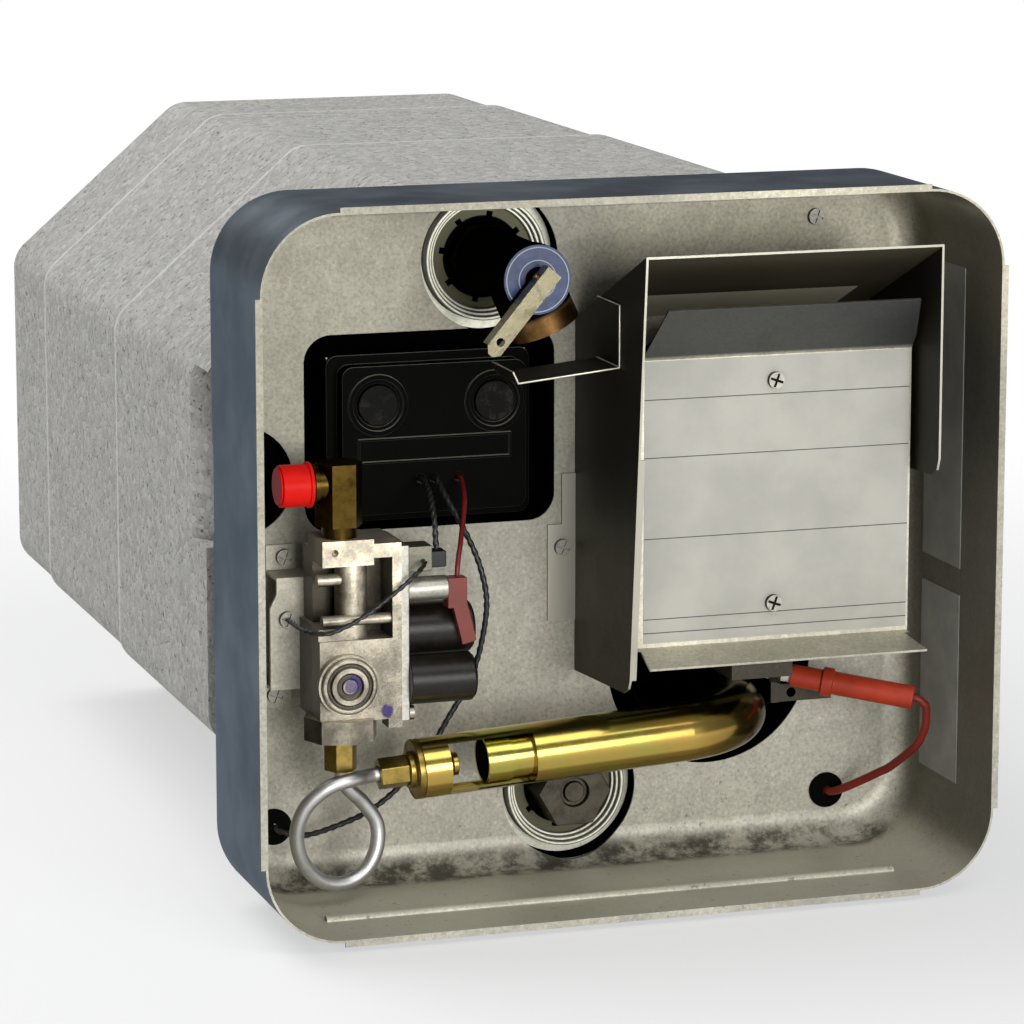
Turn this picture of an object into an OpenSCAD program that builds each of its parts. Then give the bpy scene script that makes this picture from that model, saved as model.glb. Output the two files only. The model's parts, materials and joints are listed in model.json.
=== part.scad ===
// Caravan gas water heater: front control pan, foam-clad tank, gas train, flue and relief valve.
// Millimetres. +X right, front faces -Y, +Z up, origin at the bottom centre of the whole.

/* [Control pan] */
// Width over the pan walls
ring_w = 327; // [305:1:345]
// Height over the pan walls
ring_h = 306; // [290:0.5:325]
// Outside radius of the pan corners
ring_corner_r = 34; // [30:1:40]
// Depth of the pan from its front rim to the back of its panel
pan_depth = 94; // [90:1:100]
// Bend radius between walls and back panel
pan_bend_r = 14; // [10:1:16]
// Sheet thickness of the pan
sheet_t = 1; // [0.8:0.1:1.2]
// Reach of the four front tabs beyond the walls
tab_reach = 2; // [1:0.5:4]
// Height of the pan's underside above the foam's underside
pan_lift = 4; // [2:0.5:8]
// Radius of the stiffening bead in the floor
bead_r = 2.2; // [1.5:0.1:3]
// Distance of the bead behind the front rim
bead_d = 31; // [26:1:36]

/* [Insulation] */
// Length of the foam behind the pan
foam_len = 406; // [396:1:420]
// Overall height of the foam
foam_h = 308; // [300:1:316]
// Width taken by each corner bevel
bevel_w = 87; // [80:1:95]
// Height taken by each corner bevel
bevel_h = 76; // [70:1:84]
// Rounding of the foam edges
foam_edge_r = 16; // [8:1:20]
// Step between neighbouring foam sections
foam_step = 1.6; // [0.6:0.1:2]
// Length of the front foam section
foam_front_len = 169; // [150:1:200]
// Length of the rear foam section
foam_rear_len = 78; // [60:1:100]
// Length of the ramp in the foam beside the gas hole
ramp_len = 26; // [20:1:34]
// Height of the parting line between the foam halves
split_z = 156; // [155:0.5:157]

/* [Tank and flue] */
// Outside radius of the tank
tank_r = 139.6; // [134:0.2:141]
// Length of the tank over its heads
tank_len = 360; // [350:1:364]
// Wall of the tank
tank_wall = 2; // [1.6:0.1:2.6]
// Radius of the dished heads
head_r = 350; // [330:5:380]
// Space between foam and tank
foam_gap = 0.4; // [0.2:0.1:0.8]
// Space left where pieces seat on the tank
seat_gap = 0.3; // [0.2:0.1:0.5]
// Outside radius of the flue tube
flue_r = 38; // [36:0.5:39]
// Wall of the flue tube
flue_wall = 1.5; // [1.2:0.1:2]
// Running gap of pipes in their sheet holes
pipe_gap = 0.15; // [0.1:0.05:0.3]
// Outside radius of the rear pipe couplings
coupling_r = 15; // [14:0.5:17]
// Bore radius of the rear pipe couplings
coupling_bore_r = 9.2; // [8.8:0.1:10]
// Stand-out of the couplings behind the foam
coupling_out = 10; // [8:1:14]

/* [Ports] */
// Radius of the two round tank ports in the panel
port_r = 31; // [29:0.5:31]
// Outside radius of the tank spuds
spud_r = 17; // [16.5:0.1:17.3]
// Bore radius of the tank spuds
spud_bore_r = 13.2; // [13:0.1:13.5]
// Radius of the combustion opening in the panel
fire_r = 48; // [44:1:49]
// Across-flats size of the anode plug
anode_af = 29; // [27:0.5:29]
// Radius of the anode rod
anode_r = 9.5; // [8:0.5:11]

/* [Relief valve] */
// Radius of the relief valve barrel
relief_barrel_r = 14; // [13:0.5:15]
// Radius of the relief outlet boss
relief_boss_r = 15.5; // [15:0.5:17]
// Bore radius of the relief outlet
relief_bore_r = 12; // [11:0.5:12.5]
// Radius of the relief stem
stem_r = 2.2; // [1.8:0.1:2.4]
// Side gap of the stem in the bonnet
stem_gap = 0.3; // [0.25:0.05:0.5]
// Length of the lever from its pin
lever_len = 38; // [34:1:42]
// Outside width of the lever channel
lever_w = 7.4; // [7:0.2:9]
// Radius of the lever pin
pin_r = 1.2; // [1:0.1:1.4]

/* [Thermostat] */
// Radius of the reset buttons
button_r = 9; // [8:0.5:10]
// Side gap of the buttons in the cover
button_gap = 0.4; // [0.3:0.1:0.6]
// Thickness of the rubber cover
cover_t = 3; // [2.5:0.5:3]

/* [Gas train] */
// Radius of the aluminium gas tube
gas_tube_r = 3.2; // [2.8:0.1:3.2]
// Radius of the inlet stub under the cap
stub_r = 7.8; // [7.4:0.1:8]
// Side gap between the stub and its cap
cap_gap = 0.3; // [0.25:0.05:0.5]
// Wall of the inlet cap
cap_wall = 0.9; // [0.7:0.1:1.2]
// Radius of the burner tube
burner_r = 13; // [12.5:0.1:13.5]
// Wall of the burner tube
burner_wall = 1; // [0.8:0.1:1.2]
// Side gap of the air sleeve in the burner tube
sleeve_gap = 0.4; // [0.3:0.1:0.6]
// Bend radius of the burner tube
burner_bend_r = 35; // [32:1:38]

/* [Flue box] */
// Left side of the flue box
box_x0 = 2.5; // [1.5:0.5:4]
// Right side of the flue box
box_x1 = 136.5; // [134:0.5:138]
// Thickness of the flue box sheet
box_t = 1; // [0.8:0.1:1.2]
// Depth of the deflector plate behind the front rim
plate_d = 27; // [26:0.5:29]
// Thickness of the deflector plate
plate_t = 1; // [0.8:0.1:1.2]

/* [Hidden] */
ROUND = 64;
total_d = pan_depth + foam_len + coupling_out;
ring_z = pan_lift + ring_h / 2;
top_z = pan_lift + ring_h;
cut = 1;
// flat size of the pan between its corner centres
corner_x = ring_w / 2 - ring_corner_r;
corner_z = ring_h / 2 - ring_corner_r;
floor_z = pan_lift + sheet_t;
panel_d = pan_depth - sheet_t;
// tank placing
tank_drop = 2.5;
tank_z = ring_z - tank_drop;
tank_d0 = pan_depth + 24;
tank_d1 = tank_d0 + tank_len;
foam_d1 = pan_depth + foam_len;
// ports on the panel, as x and z
relief_at = [-36.5, top_z - port_r - 4];
anode_at = [0, floor_z + 1.5 + port_r];
fire_at = [66, 92];
flue_at = [66, top_z - 105];
flue_hole_r = flue_r + 4;
gas_hole_at = [14.5 - ring_w / 2, 184];
gas_hole_r = 24;
pipe_rise = 74.5;
cold_at = [-55, tank_z - pipe_rise];
hot_at = [-55, tank_z + pipe_rise];
relief_spud_d = pan_depth + 12;
anode_spud_d = pan_depth + 9;
// thermostat recess
recess_x = [-120, -7];
recess_z = [top_z - 150.5, top_z - 64.5];
recess_r = 12;
button_left_at = [-87, top_z - 96];
button_right_at = [-34.5, top_z - 96.5];
disc_r = 11;
cover_d = pan_depth - 1;
cover_back_d = cover_d + 11;
// grommets and their wires
grommet_left_at = [28 - ring_w / 2, 31];
grommet_right_at = [ring_w / 2 - 41, 27];
grommet_hole_r = 6;
lead_r = 1.9;
wire_gap = 0.3;
wire_r = 1.4;
thin_wire_r = 1.1;
// relief valve placing
bonnet_d = 28;
tag_t = 0.8;
pin_d = 20.5;
lever_turn = 50;
outlet_turn = 24;
lever_base = 3.6;
lever_t = 1;
// gas valve placing; x in the valve group is measured from the valve's upright axis
valve_x = 47 - ring_w / 2;
valve_d = 52;
valve_top_z = 166;
wall_x = 24.5;
yoke_x = 28.5;
stub_x0 = -12.5;
stub_len = 11;
inlet_z = 189;
plug_z = 104.5;
cap_end = 2;
// heights of the flue box's upper end and of the deflector's upper bend
box_front_z = top_z - 24;
box_back_z = top_z - 62.3;
bend_z = top_z - 71.6;
// burner placing
burner_at = [-55.5, 45, 66.2];
burner_tilt = 3.4;
burner_run = 92.5;
sleeve_r = burner_r - burner_wall - sleeve_gap;
// screws
screw_r = 2;
screw_gap = 0.1;
head_screw_r = 3.6;
earth_at = [valve_x - 17, 127];
plate_screw_at = [[70, bend_z - 10.9], [70, 130.5]];
pan_screw_at = [[valve_x - 13.5, 150.5], [valve_x - 18, 90], [114, top_z - 22], [-3.8, 147]];

// depth behind the front rim, as a y value
function fy(d) = d - total_d / 2;

// depth where a round bar at a place meets the front head of the tank
function head_sag(r) = head_r - sqrt(head_r * head_r - r * r);
shoulder = head_sag(tank_r);
function head_seat_d(at, r) = tank_d0 + head_sag(norm(at - [0, tank_z]) - r) - seat_gap;

// points of a smooth route through hand-set points
function curve(a, b, c, d, t) = 0.5 * ((2 * b) + (c - a) * t
    + (2 * a - 5 * b + 4 * c - d) * t * t + (3 * b - a - 3 * c + d) * t * t * t);
function route(p, n) = let (m = len(p) - 1) concat(
    [for (i = [0 : m - 1]) for (j = [0 : n - 1])
        curve(i == 0 ? 2 * p[0] - p[1] : p[i - 1], p[i], p[i + 1],
            i == m - 1 ? 2 * p[m] - p[m - 1] : p[i + 2], j / n)], [p[m]]);
function unit(v) = v / norm(v);
function heading(p, i) = unit(p[min(i + 1, len(p) - 1)] - p[max(i - 1, 0)]);
function square_to(v, t) = unit(v - (v * t) * t);
function sides(p, i, v) = i == len(p) ? [] :
    let (s = square_to(v, heading(p, i))) concat([s], sides(p, i + 1, s));

// round tube along a route given as [x, depth, z]
module tube_along(points, r, n, steps) {
    p = [for (q = route(points, steps)) [q[0], fy(q[1]), q[2]]];
    s = sides(p, 0, [0.31, 0.55, 0.77]);
    rings = len(p);
    verts = [for (i = [0 : rings - 1]) for (k = [0 : n - 1])
        p[i] + r * (cos(360 * k / n) * s[i] + sin(360 * k / n) * cross(heading(p, i), s[i]))];
    skin = [for (i = [0 : rings - 2]) for (k = [0 : n - 1])
        [i * n + k, i * n + (k + 1) % n, (i + 1) * n + (k + 1) % n, (i + 1) * n + k]];
    front = [for (k = [0 : n - 1]) n - 1 - k];
    back = [for (k = [0 : n - 1]) (rings - 1) * n + k];
    turned = [for (f = concat(skin, [front, back])) [for (j = [len(f) - 1 : -1 : 0]) f[j]]];
    polyhedron(points = verts, faces = turned);
}

// round bar along the depth
module ybar(at, r, d0, d1, n = ROUND) {
    translate([at[0], fy(d0), at[1]]) rotate([-90, 0, 0]) cylinder(r = r, h = d1 - d0, $fn = n);
}
// round bar along x
module xbar(x0, x1, d, z, r, n = ROUND) {
    translate([x0, fy(d), z]) rotate([0, 90, 0]) cylinder(r = r, h = x1 - x0, $fn = n);
}
// round bar along z
module zbar(x, d, z0, z1, r, n = ROUND) {
    translate([x, fy(d), z0]) cylinder(r = r, h = z1 - z0, $fn = n);
}
// block from its limits
module block(x0, x1, d0, d1, z0, z1) {
    translate([x0, fy(d0), z0]) cube([x1 - x0, d1 - d0, z1 - z0]);
}
// sheet cut to a side outline of [depth, z] points
module side_sheet(x0, x1, outline) {
    translate([x0, fy(0), 0]) rotate([90, 0, 90]) linear_extrude(x1 - x0) polygon(outline);
}
// sheet cut to a front outline of [x, z] points
module front_sheet(d0, d1, outline) {
    translate([0, fy(d1), 0]) rotate([90, 0, 0]) linear_extrude(d1 - d0) polygon(outline);
}
// rounded block seen from the front
module round_block(x, z, r, d0, d1) {
    w = x[1] - x[0];
    h = z[1] - z[0];
    at = [(x[0] + x[1]) / 2, (z[0] + z[1]) / 2];
    translate([at[0], fy(d0), at[1]]) rotate([-90, 0, 0]) linear_extrude(d1 - d0) {
        square([w - 2 * r, h], center = true);
        square([w, h - 2 * r], center = true);
        for (sx = [-1, 1]) for (sz = [-1, 1])
            translate([sx * (w / 2 - r), sz * (h / 2 - r)]) circle(r = r, $fn = ROUND);
    }
}

// Control pan
module pan_outline(r, d, b) {
    square([r - b, d]);
    square([r, d - b]);
    translate([r - b, d - b]) circle(r = b, $fn = ROUND);
}
module pan_profile() {
    difference() {
        pan_outline(ring_corner_r, pan_depth, pan_bend_r);
        translate([0, -cut])
            pan_outline(ring_corner_r - sheet_t, pan_depth - sheet_t + cut, pan_bend_r - sheet_t);
    }
}
module pan_sheet() {
    at = [[corner_x, -corner_z], [corner_x, corner_z], [-corner_x, corner_z], [-corner_x, -corner_z]];
    translate([0, fy(0), ring_z]) {
        for (i = [0 : 3])
            translate([at[i][0], 0, at[i][1]]) rotate([0, -90 * i, 0]) rotate([-90, 0, 0])
                rotate_extrude(angle = 90, $fn = ROUND) pan_profile();
        for (a = [0, 180])
            rotate([0, a, 0]) translate([corner_x, 0, -corner_z]) linear_extrude(2 * corner_z) pan_profile();
        for (a = [90, -90])
            rotate([0, a, 0]) translate([corner_z, 0, -corner_x]) linear_extrude(2 * corner_x) pan_profile();
        translate([-corner_x, panel_d, -corner_z]) cube([2 * corner_x, sheet_t, 2 * corner_z]);
        for (s = [-1, 1]) {
            translate([-corner_x, 0, s > 0 ? ring_h / 2 - sheet_t : -ring_h / 2 - tab_reach])
                cube([2 * corner_x, sheet_t, tab_reach + sheet_t]);
            translate([s > 0 ? ring_w / 2 - sheet_t : -ring_w / 2 - tab_reach, 0, -corner_z])
                cube([tab_reach + sheet_t, sheet_t, 2 * corner_z]);
        }
    }
}
module control_pan() color([0.62, 0.62, 0.58]) {
    deep = pan_depth - pan_bend_r;
    difference() {
        pan_sheet();
        for (at = [relief_at, anode_at]) ybar(at, port_r, deep - 6, pan_depth + cut);
        ybar(fire_at, fire_r, deep, pan_depth + cut);
        ybar(flue_at, flue_hole_r, deep, pan_depth + cut);
        ybar(gas_hole_at, gas_hole_r, deep, pan_depth + cut);
        round_block(recess_x, recess_z, recess_r, deep, pan_depth + cut);
        for (at = [grommet_left_at, grommet_right_at]) ybar(at, grommet_hole_r, deep, pan_depth + cut);
        for (at = pan_screw_at) ybar(at, screw_r + screw_gap, deep, pan_depth + cut);
    }
    difference() {
        xbar(-corner_x, corner_x, bead_d, floor_z, bead_r);
        block(-ring_w, ring_w, bead_d - 9, bead_d + 9, -9, floor_z - sheet_t / 2);
    }
}

// Insulation
module foam_outline(inset) {
    hw = ring_w / 2 - inset;
    hh = foam_h / 2 - inset;
    slope = norm([bevel_w, bevel_h]);
    nx = bevel_h / slope;
    nz = bevel_w / slope;
    c = nx * (ring_w / 2 - bevel_w) + nz * foam_h / 2 - inset - foam_edge_r;
    ax = (c - nz * (hh - foam_edge_r)) / nx;
    bz = (c - nx * (hw - foam_edge_r)) / nz;
    square([2 * ax, 2 * hh], center = true);
    square([2 * hw, 2 * bz], center = true);
    polygon([[ax, hh - foam_edge_r], [hw - foam_edge_r, bz], [hw - foam_edge_r, -bz], [ax, foam_edge_r - hh],
        [-ax, foam_edge_r - hh], [foam_edge_r - hw, -bz], [foam_edge_r - hw, bz], [-ax, hh - foam_edge_r]]);
    for (sx = [-1, 1]) for (sz = [-1, 1]) {
        translate([sx * ax, sz * (hh - foam_edge_r)]) circle(r = foam_edge_r, $fn = ROUND);
        translate([sx * (hw - foam_edge_r), sz * bz]) circle(r = foam_edge_r, $fn = ROUND);
        polygon([[sx * ax, sz * (hh - foam_edge_r)], [sx * (hw - foam_edge_r), sz * bz],
            [sx * (hw - foam_edge_r + nx * foam_edge_r), sz * (bz + nz * foam_edge_r)],
            [sx * (ax + nx * foam_edge_r), sz * (hh - foam_edge_r + nz * foam_edge_r)]]);
    }
}
module foam_section(d0, d1, inset) {
    translate([0, fy(d0), foam_h / 2]) rotate([-90, 0, 0]) linear_extrude(d1 - d0) foam_outline(inset);
}
module tank_body(r, d0, d1, hr) {
    intersection() {
        ybar([0, tank_z], r, d0 - cut, d1 + cut);
        translate([0, fy(d0 + hr), tank_z]) sphere(r = hr, $fn = ROUND);
        translate([0, fy(d1 - hr), tank_z]) sphere(r = hr, $fn = ROUND);
    }
}
// ramp from the foam's left side down to the gas hole, between the parting line and the bevel
module gas_ramp() {
    side = ring_w / 2 + 1;
    translate([0, fy(pan_depth), split_z - 1]) linear_extrude(foam_h - bevel_h - split_z + 1)
        polygon([[gas_hole_at[0], -cut], [gas_hole_at[0], 2], [-side, ramp_len], [-side, -cut]]);
}
module foam_body() {
    near = pan_depth + foam_front_len;
    far = foam_d1 - foam_rear_len;
    difference() {
        union() {
            foam_section(pan_depth, near, 0);
            foam_section(near, far, foam_step);
            foam_section(far, foam_d1, 2 * foam_step);
        }
        tank_body(tank_r + foam_gap, tank_d0 - foam_gap, tank_d1 + foam_gap, head_r + foam_gap);
        for (at = [relief_at, anode_at]) ybar(at, port_r + 0.5, pan_depth - cut, tank_d0 + shoulder);
        ybar(fire_at, fire_r, pan_depth - cut, tank_d0 + shoulder);
        ybar(flue_at, flue_hole_r, pan_depth - cut, tank_d0 + shoulder);
        round_block(recess_x, recess_z, recess_r, pan_depth - cut, tank_d0 + shoulder);
        ybar(gas_hole_at, gas_hole_r, pan_depth - cut, pan_depth + 12);
        for (at = [grommet_left_at, grommet_right_at])
            ybar(at, grommet_hole_r + 3, pan_depth - cut, pan_depth + 12);
        for (at = [cold_at, hot_at]) ybar(at, coupling_r + foam_gap, tank_d1 - 40, foam_d1 + cut);
    }
}
module insulation_upper() color([0.75, 0.75, 0.73]) difference() {
    intersection() {
        foam_body();
        block(-ring_w, ring_w, 0, foam_d1 + cut, split_z, 2 * foam_h);
    }
    gas_ramp();
}
module insulation_lower() color([0.75, 0.75, 0.73]) intersection() {
    foam_body();
    block(-ring_w, ring_w, 0, foam_d1 + cut, -foam_h, split_z);
}

// Tank and flue
module tank() color([0.35, 0.36, 0.38]) difference() {
    union() {
        difference() {
            tank_body(tank_r, tank_d0, tank_d1, head_r);
            tank_body(tank_r - tank_wall, tank_d0 + tank_wall, tank_d1 - tank_wall, head_r - tank_wall);
        }
        ybar(relief_at, spud_r, relief_spud_d, tank_d0 + shoulder - 1);
        ybar(anode_at, spud_r, anode_spud_d, tank_d0 + shoulder - 1);
    }
    ybar(relief_at, spud_bore_r, relief_spud_d - cut, tank_d0 + shoulder);
    ybar(anode_at, spud_bore_r, anode_spud_d - cut, tank_d0 + shoulder);
    ybar(fire_at, flue_r + pipe_gap, pan_depth, tank_d0 + 60);
    ybar(flue_at, flue_r + pipe_gap, pan_depth, tank_d0 + 60);
    for (at = [cold_at, hot_at]) ybar(at, coupling_r + pipe_gap, tank_d1 - 60, tank_d1 + cut);
}
module flue_tube() color([0.3, 0.3, 0.31]) {
    bend = (flue_at[1] - fire_at[1]) / 2;
    end_d = tank_d1 - 108;
    for (at = [fire_at, flue_at]) difference() {
        ybar(at, flue_r, pan_depth + 1, end_d);
        ybar(at, flue_r - flue_wall, pan_depth, end_d + cut);
    }
    translate([fire_at[0], fy(end_d), fire_at[1] + bend]) rotate([0, 90, 0])
        rotate_extrude(angle = 180, $fn = ROUND) translate([bend, 0]) difference() {
            circle(r = flue_r, $fn = ROUND);
            circle(r = flue_r - flue_wall, $fn = ROUND);
        }
}
// pipe coupling let through the rear head
module coupling(at) {
    difference() {
        ybar(at, coupling_r, tank_d1 - 22, total_d);
        ybar(at, coupling_bore_r, tank_d1 - 22 - cut, total_d + cut);
    }
}
module cold_inlet() color([0.5, 0.5, 0.52]) coupling(cold_at);
module hot_outlet() color([0.5, 0.5, 0.52]) coupling(hot_at);
module anode_rod() color([0.5, 0.42, 0.3]) {
    front_d = anode_spud_d - 19;
    difference() {
        ybar(anode_at, anode_af / 2 / cos(30), front_d, anode_spud_d, 6);
        ybar(anode_at, 6.5, front_d - cut, front_d + 3);
    }
    ybar(anode_at, 4.6, front_d + 0.6, front_d + 4);
    ybar(anode_at, spud_bore_r - 0.15, anode_spud_d, tank_d0 + 10);
    ybar(anode_at, anode_r, tank_d0 + 10, tank_d0 + 262);
}
// stepped ring that lines a tank port
module collar(at, d) {
    outer = port_r + 0.4;
    inner = spud_r + 0.5;
    difference() {
        translate([at[0], fy(d), at[1]]) rotate([-90, 0, 0]) rotate_extrude($fn = ROUND)
            polygon([[inner, 8], [inner, 5.5], [22.5, 5.5], [22.5, 3.6], [24, 3.6], [24, 1.8], [25.6, 1.8],
                [25.6, 0], [27.2, 0], [27.2, 6], [outer, 6], [outer, 8]]);
        for (a = [0 : 45 : 315]) translate([at[0], fy(d), at[1]]) rotate([0, a + 10, 0])
            translate([inner - cut, 5, -1.4]) cube([3.4, 4, 2.8]);
    }
}
module anode_collar() color([0.7, 0.7, 0.62]) collar(anode_at, pan_depth + 3);
module relief_collar() color([0.7, 0.7, 0.62]) collar(relief_at, pan_depth + 4);

// Relief valve
module relief_body() color([0.72, 0.5, 0.25]) difference() {
    union() {
        ybar(relief_at, spud_bore_r - 0.15, relief_spud_d, relief_spud_d + 20);
        ybar(relief_at, spud_r - 0.2, relief_spud_d - 9, relief_spud_d, 6);
        ybar(relief_at, relief_barrel_r, bonnet_d + 8, relief_spud_d - 9);
        ybar(relief_at, relief_barrel_r + 0.9, bonnet_d, bonnet_d + 8);
        relief_outlet(relief_boss_r, 26, 26);
    }
    ybar(relief_at, stem_r + stem_gap, bonnet_d - cut, bonnet_d + 18);
    relief_outlet(relief_bore_r, 26 + cut, 16 + cut);
}
// round bar along the outlet, which points down and to the right, from its end inwards
module relief_outlet(r, reach, l) {
    translate([relief_at[0], fy(bonnet_d + 22), relief_at[1]]) rotate([0, -outlet_turn, 0])
        translate([0, 0, -reach]) cylinder(r = r, h = l, $fn = ROUND);
}
module relief_stem() color([0.6, 0.6, 0.6]) difference() {
    ybar(relief_at, stem_r, pin_d - 1.9, bonnet_d + 12);
    pin_bar(pin_r + 0.05, lever_w + 4);
}
module pin_bar(r, l) {
    translate([relief_at[0], fy(pin_d), relief_at[1]]) rotate([0, -lever_turn, 0])
        translate([0, 0, -l / 2]) cylinder(r = r, h = l, $fn = ROUND);
}
module lever_pin() color([0.7, 0.45, 0.3]) pin_bar(pin_r, lever_w + 1.6);
// lever drawn along -x, then turned to hang down to the left
module relief_lever() color([0.8, 0.79, 0.72]) difference() {
    translate([relief_at[0], fy(pin_d), relief_at[1]]) rotate([0, -lever_turn, 0]) difference() {
        union() {
            translate([-lever_len, -lever_base - lever_t, -lever_w / 2])
                cube([lever_len + 6, lever_t, lever_w]);
            for (s = [-1, 1]) translate([-lever_len + 3, -lever_base - lever_t / 2, -lever_t / 2])
                translate([0, 0, s * (lever_w - lever_t) / 2])
                    cube([lever_len + 3, lever_base + 3.2, lever_t]);
        }
        translate([-lever_len + 7, 0, 0]) rotate([90, 0, 0]) cylinder(r = 1.8, h = 9, $fn = ROUND);
        for (s = [-1, 1]) translate([-lever_len, -9, s * lever_w / 2]) rotate([0, 45, 0])
            translate([-1.8, 0, -1.8]) cube([3.6, 18, 3.6]);
    }
    pin_bar(pin_r + 0.3, lever_w + 4);
}
module relief_tag() color([0.12, 0.22, 0.5]) difference() {
    ybar(relief_at, relief_barrel_r + 0.7, bonnet_d - tag_t, bonnet_d);
    ybar(relief_at, 5.5, bonnet_d - tag_t - cut, bonnet_d + cut);
    translate([relief_at[0], fy(bonnet_d), relief_at[1]]) rotate([0, -lever_turn, 0])
        translate([-30, -2, -lever_w / 2]) cube([30, 4, lever_w]);
}

// Thermostat group in its recess
cover_x = [-103, -20];
cover_z = [recess_z[0] + 6.5, recess_z[0] + 71.5];
module thermostat_clip() color([0.55, 0.55, 0.55]) difference() {
    union() {
        block(cover_x[0] - 4, cover_x[1] + 3, cover_back_d, cover_back_d + 2, cover_z[0] - 3, cover_z[1] + 3);
        for (x = cover_x) {
            at = [x, cover_z[0] + 4];
            ybar(at, 3, cover_back_d + 2, head_seat_d(at, 3));
        }
    }
    for (at = [button_left_at, button_right_at])
        ybar(at, disc_r + 0.2, cover_back_d - cut, cover_back_d + 3);
}
module disc(at) {
    ybar(at, disc_r, cover_back_d - 1, head_seat_d(at, disc_r));
}
module thermostat_disc() color([0.15, 0.15, 0.15]) disc(button_left_at);
module limit_disc() color([0.15, 0.15, 0.15]) disc(button_right_at);
module reset_cover() color([0.06, 0.06, 0.06]) {
    x = cover_x;
    z = cover_z;
    frame_z = [z[0] + 22.5, z[0] + 33.5];
    difference() {
        union() {
            round_block(x, z, 5, cover_d, cover_back_d);
            round_block([x[0] - 5, x[1] + 4], [z[0] - 4, z[1] + 4], 5, cover_back_d - 3, cover_back_d);
        }
        round_block([x[0] + 3, x[1] - 3], [z[0] + 3, z[1] - 3], 3, cover_d + cover_t, cover_back_d + cut);
        for (at = [button_left_at, button_right_at])
            ybar(at, button_r + button_gap, cover_d - cut, cover_back_d);
        for (w = [-68, -62, -51]) ybar([w, z[0] + 15], 2, cover_d - cut, cover_d + 2);
    }
    for (at = [button_left_at, button_right_at]) difference() {
        ybar(at, button_r + 4.4, cover_d - 0.8, cover_d);
        ybar(at, button_r + 2.2, cover_d - 0.8 - cut, cover_d + cut);
    }
    difference() {
        block(-96, -27, cover_d - 0.8, cover_d, frame_z[0], frame_z[1]);
        block(-95, -28, cover_d - 0.8 - cut, cover_d + cut, frame_z[0] + 1, frame_z[1] - 1);
    }
}
module button(at) {
    ybar(at, button_r, cover_d - 1.4, cover_d + cover_t + 0.3);
    ybar(at, button_r + 1.6, cover_d + cover_t + 0.3, cover_d + cover_t + 2.3);
}
module reset_button_left() color([0.1, 0.1, 0.09]) button(button_left_at);
module reset_button_right() color([0.1, 0.1, 0.09]) button(button_right_at);

// Flue box and its sheets
module drip_shield() color([0.65, 0.65, 0.62]) {
    z = relief_at[1] - 45;
    front_sheet(33, 62, [[box_x0, z + 32], [box_x0 - 1, z + 32], [box_x0 - 1, z + 5.4], [-42.6, z + 1],
        [-45, z + 6], [-45.9, z + 5.6], [-43.2, z], [box_x0, z + 4.4]]);
}
module flue_box() color([0.45, 0.45, 0.42]) difference() {
    side_z = top_z - 124.5;
    rim_d = 2;
    union() {
        side_sheet(box_x0, box_x0 + box_t, [[panel_d, 91], [panel_d, box_back_z], [rim_d, box_front_z],
            [rim_d, box_front_z - 2], [20, 102], [22, 98], [28, 95]]);
        side_sheet(box_x1 - box_t, box_x1, [[panel_d, side_z - 3.5], [panel_d, box_back_z],
            [rim_d, box_front_z], [rim_d, side_z + 8.5], [4, side_z + 3], [10, side_z]]);
        side_sheet(box_x0, box_x1, [[panel_d, box_back_z], [rim_d, box_front_z],
            [rim_d, box_front_z - box_t], [panel_d, box_back_z - box_t]]);
        side_sheet(box_x0, box_x0 + 3, [[10.4, 199], [20, 102], [21, 102], [11.4, 199]]);
        block(-10.3, box_x0 + box_t, panel_d - box_t, panel_d, 114, 157);
        block(-3.8, box_x0 + box_t, panel_d - box_t, panel_d, 156, 179.5);
        block(box_x1 - box_t, box_x1 + 9, panel_d - box_t, panel_d, side_z + 2.5, side_z + 54.5);
    }
    ybar(pan_screw_at[3], screw_r + screw_gap, panel_d - 5, panel_d + cut);
}
module deflector() color([0.68, 0.68, 0.65]) {
    back = plate_d + plate_t;
    difference() {
        side_sheet(6, 133, [[9, bend_z + 23.3], [9.8, bend_z + 24], [back, bend_z + 0.6], [back, 113],
            [4.6, 109.2], [4.4, 110.2], [plate_d, 114.2], [plate_d, bend_z]]);
        front_sheet(0, 30, [[5, bend_z + 1.6], [5, bend_z + 26], [15.6, bend_z + 26], [10, bend_z + 1.6]]);
        front_sheet(0, 30, [[134, bend_z + 1.6], [134, bend_z + 26], [128.7, bend_z + 26]]);
        for (s = [0, 1]) translate([s > 0 ? 133 : 6, fy(4), 100]) rotate([0, 0, s > 0 ? 8 : -8])
            translate([-10 + s * 10, -10, 0]) cube([10, 33, 13.6]);
        for (at = plate_screw_at) ybar(at, screw_r + screw_gap, plate_d - cut, back + cut);
    }
}
module deflector_label() color([0.85, 0.84, 0.8]) difference() {
    block(11, 132, plate_d - 0.2, plate_d, 116, bend_z - 0.4);
    for (at = plate_screw_at) ybar(at, screw_r + screw_gap, plate_d - cut, plate_d + cut);
}
module deflector_bracket() color([0.5, 0.5, 0.48]) {
    d0 = plate_d + plate_t;
    difference() {
        block(52, 80, d0, d0 + 1, 97, bend_z - 2.4);
        for (at = plate_screw_at) ybar(at, screw_r + screw_gap, d0 - cut, d0 + 2);
    }
    for (x = [52, 79]) {
        block(x, x + 1, d0, 58, 97, bend_z - 2.4);
        block(x, x + 1, 57, panel_d, 142, 160);
    }
    block(52, 64, panel_d - 1, panel_d, 142, 160);
}
module screw(at, d, reach) {
    difference() {
        ybar(at, head_screw_r, d - 2.4, d);
        translate([at[0], fy(d - 2.4), at[1]]) for (a = [0, 90]) rotate([0, a + 20, 0])
            translate([-3, -cut, -0.5]) cube([6, 1 + cut, 1]);
    }
    ybar(at, screw_r, d, d + reach);
}
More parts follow.
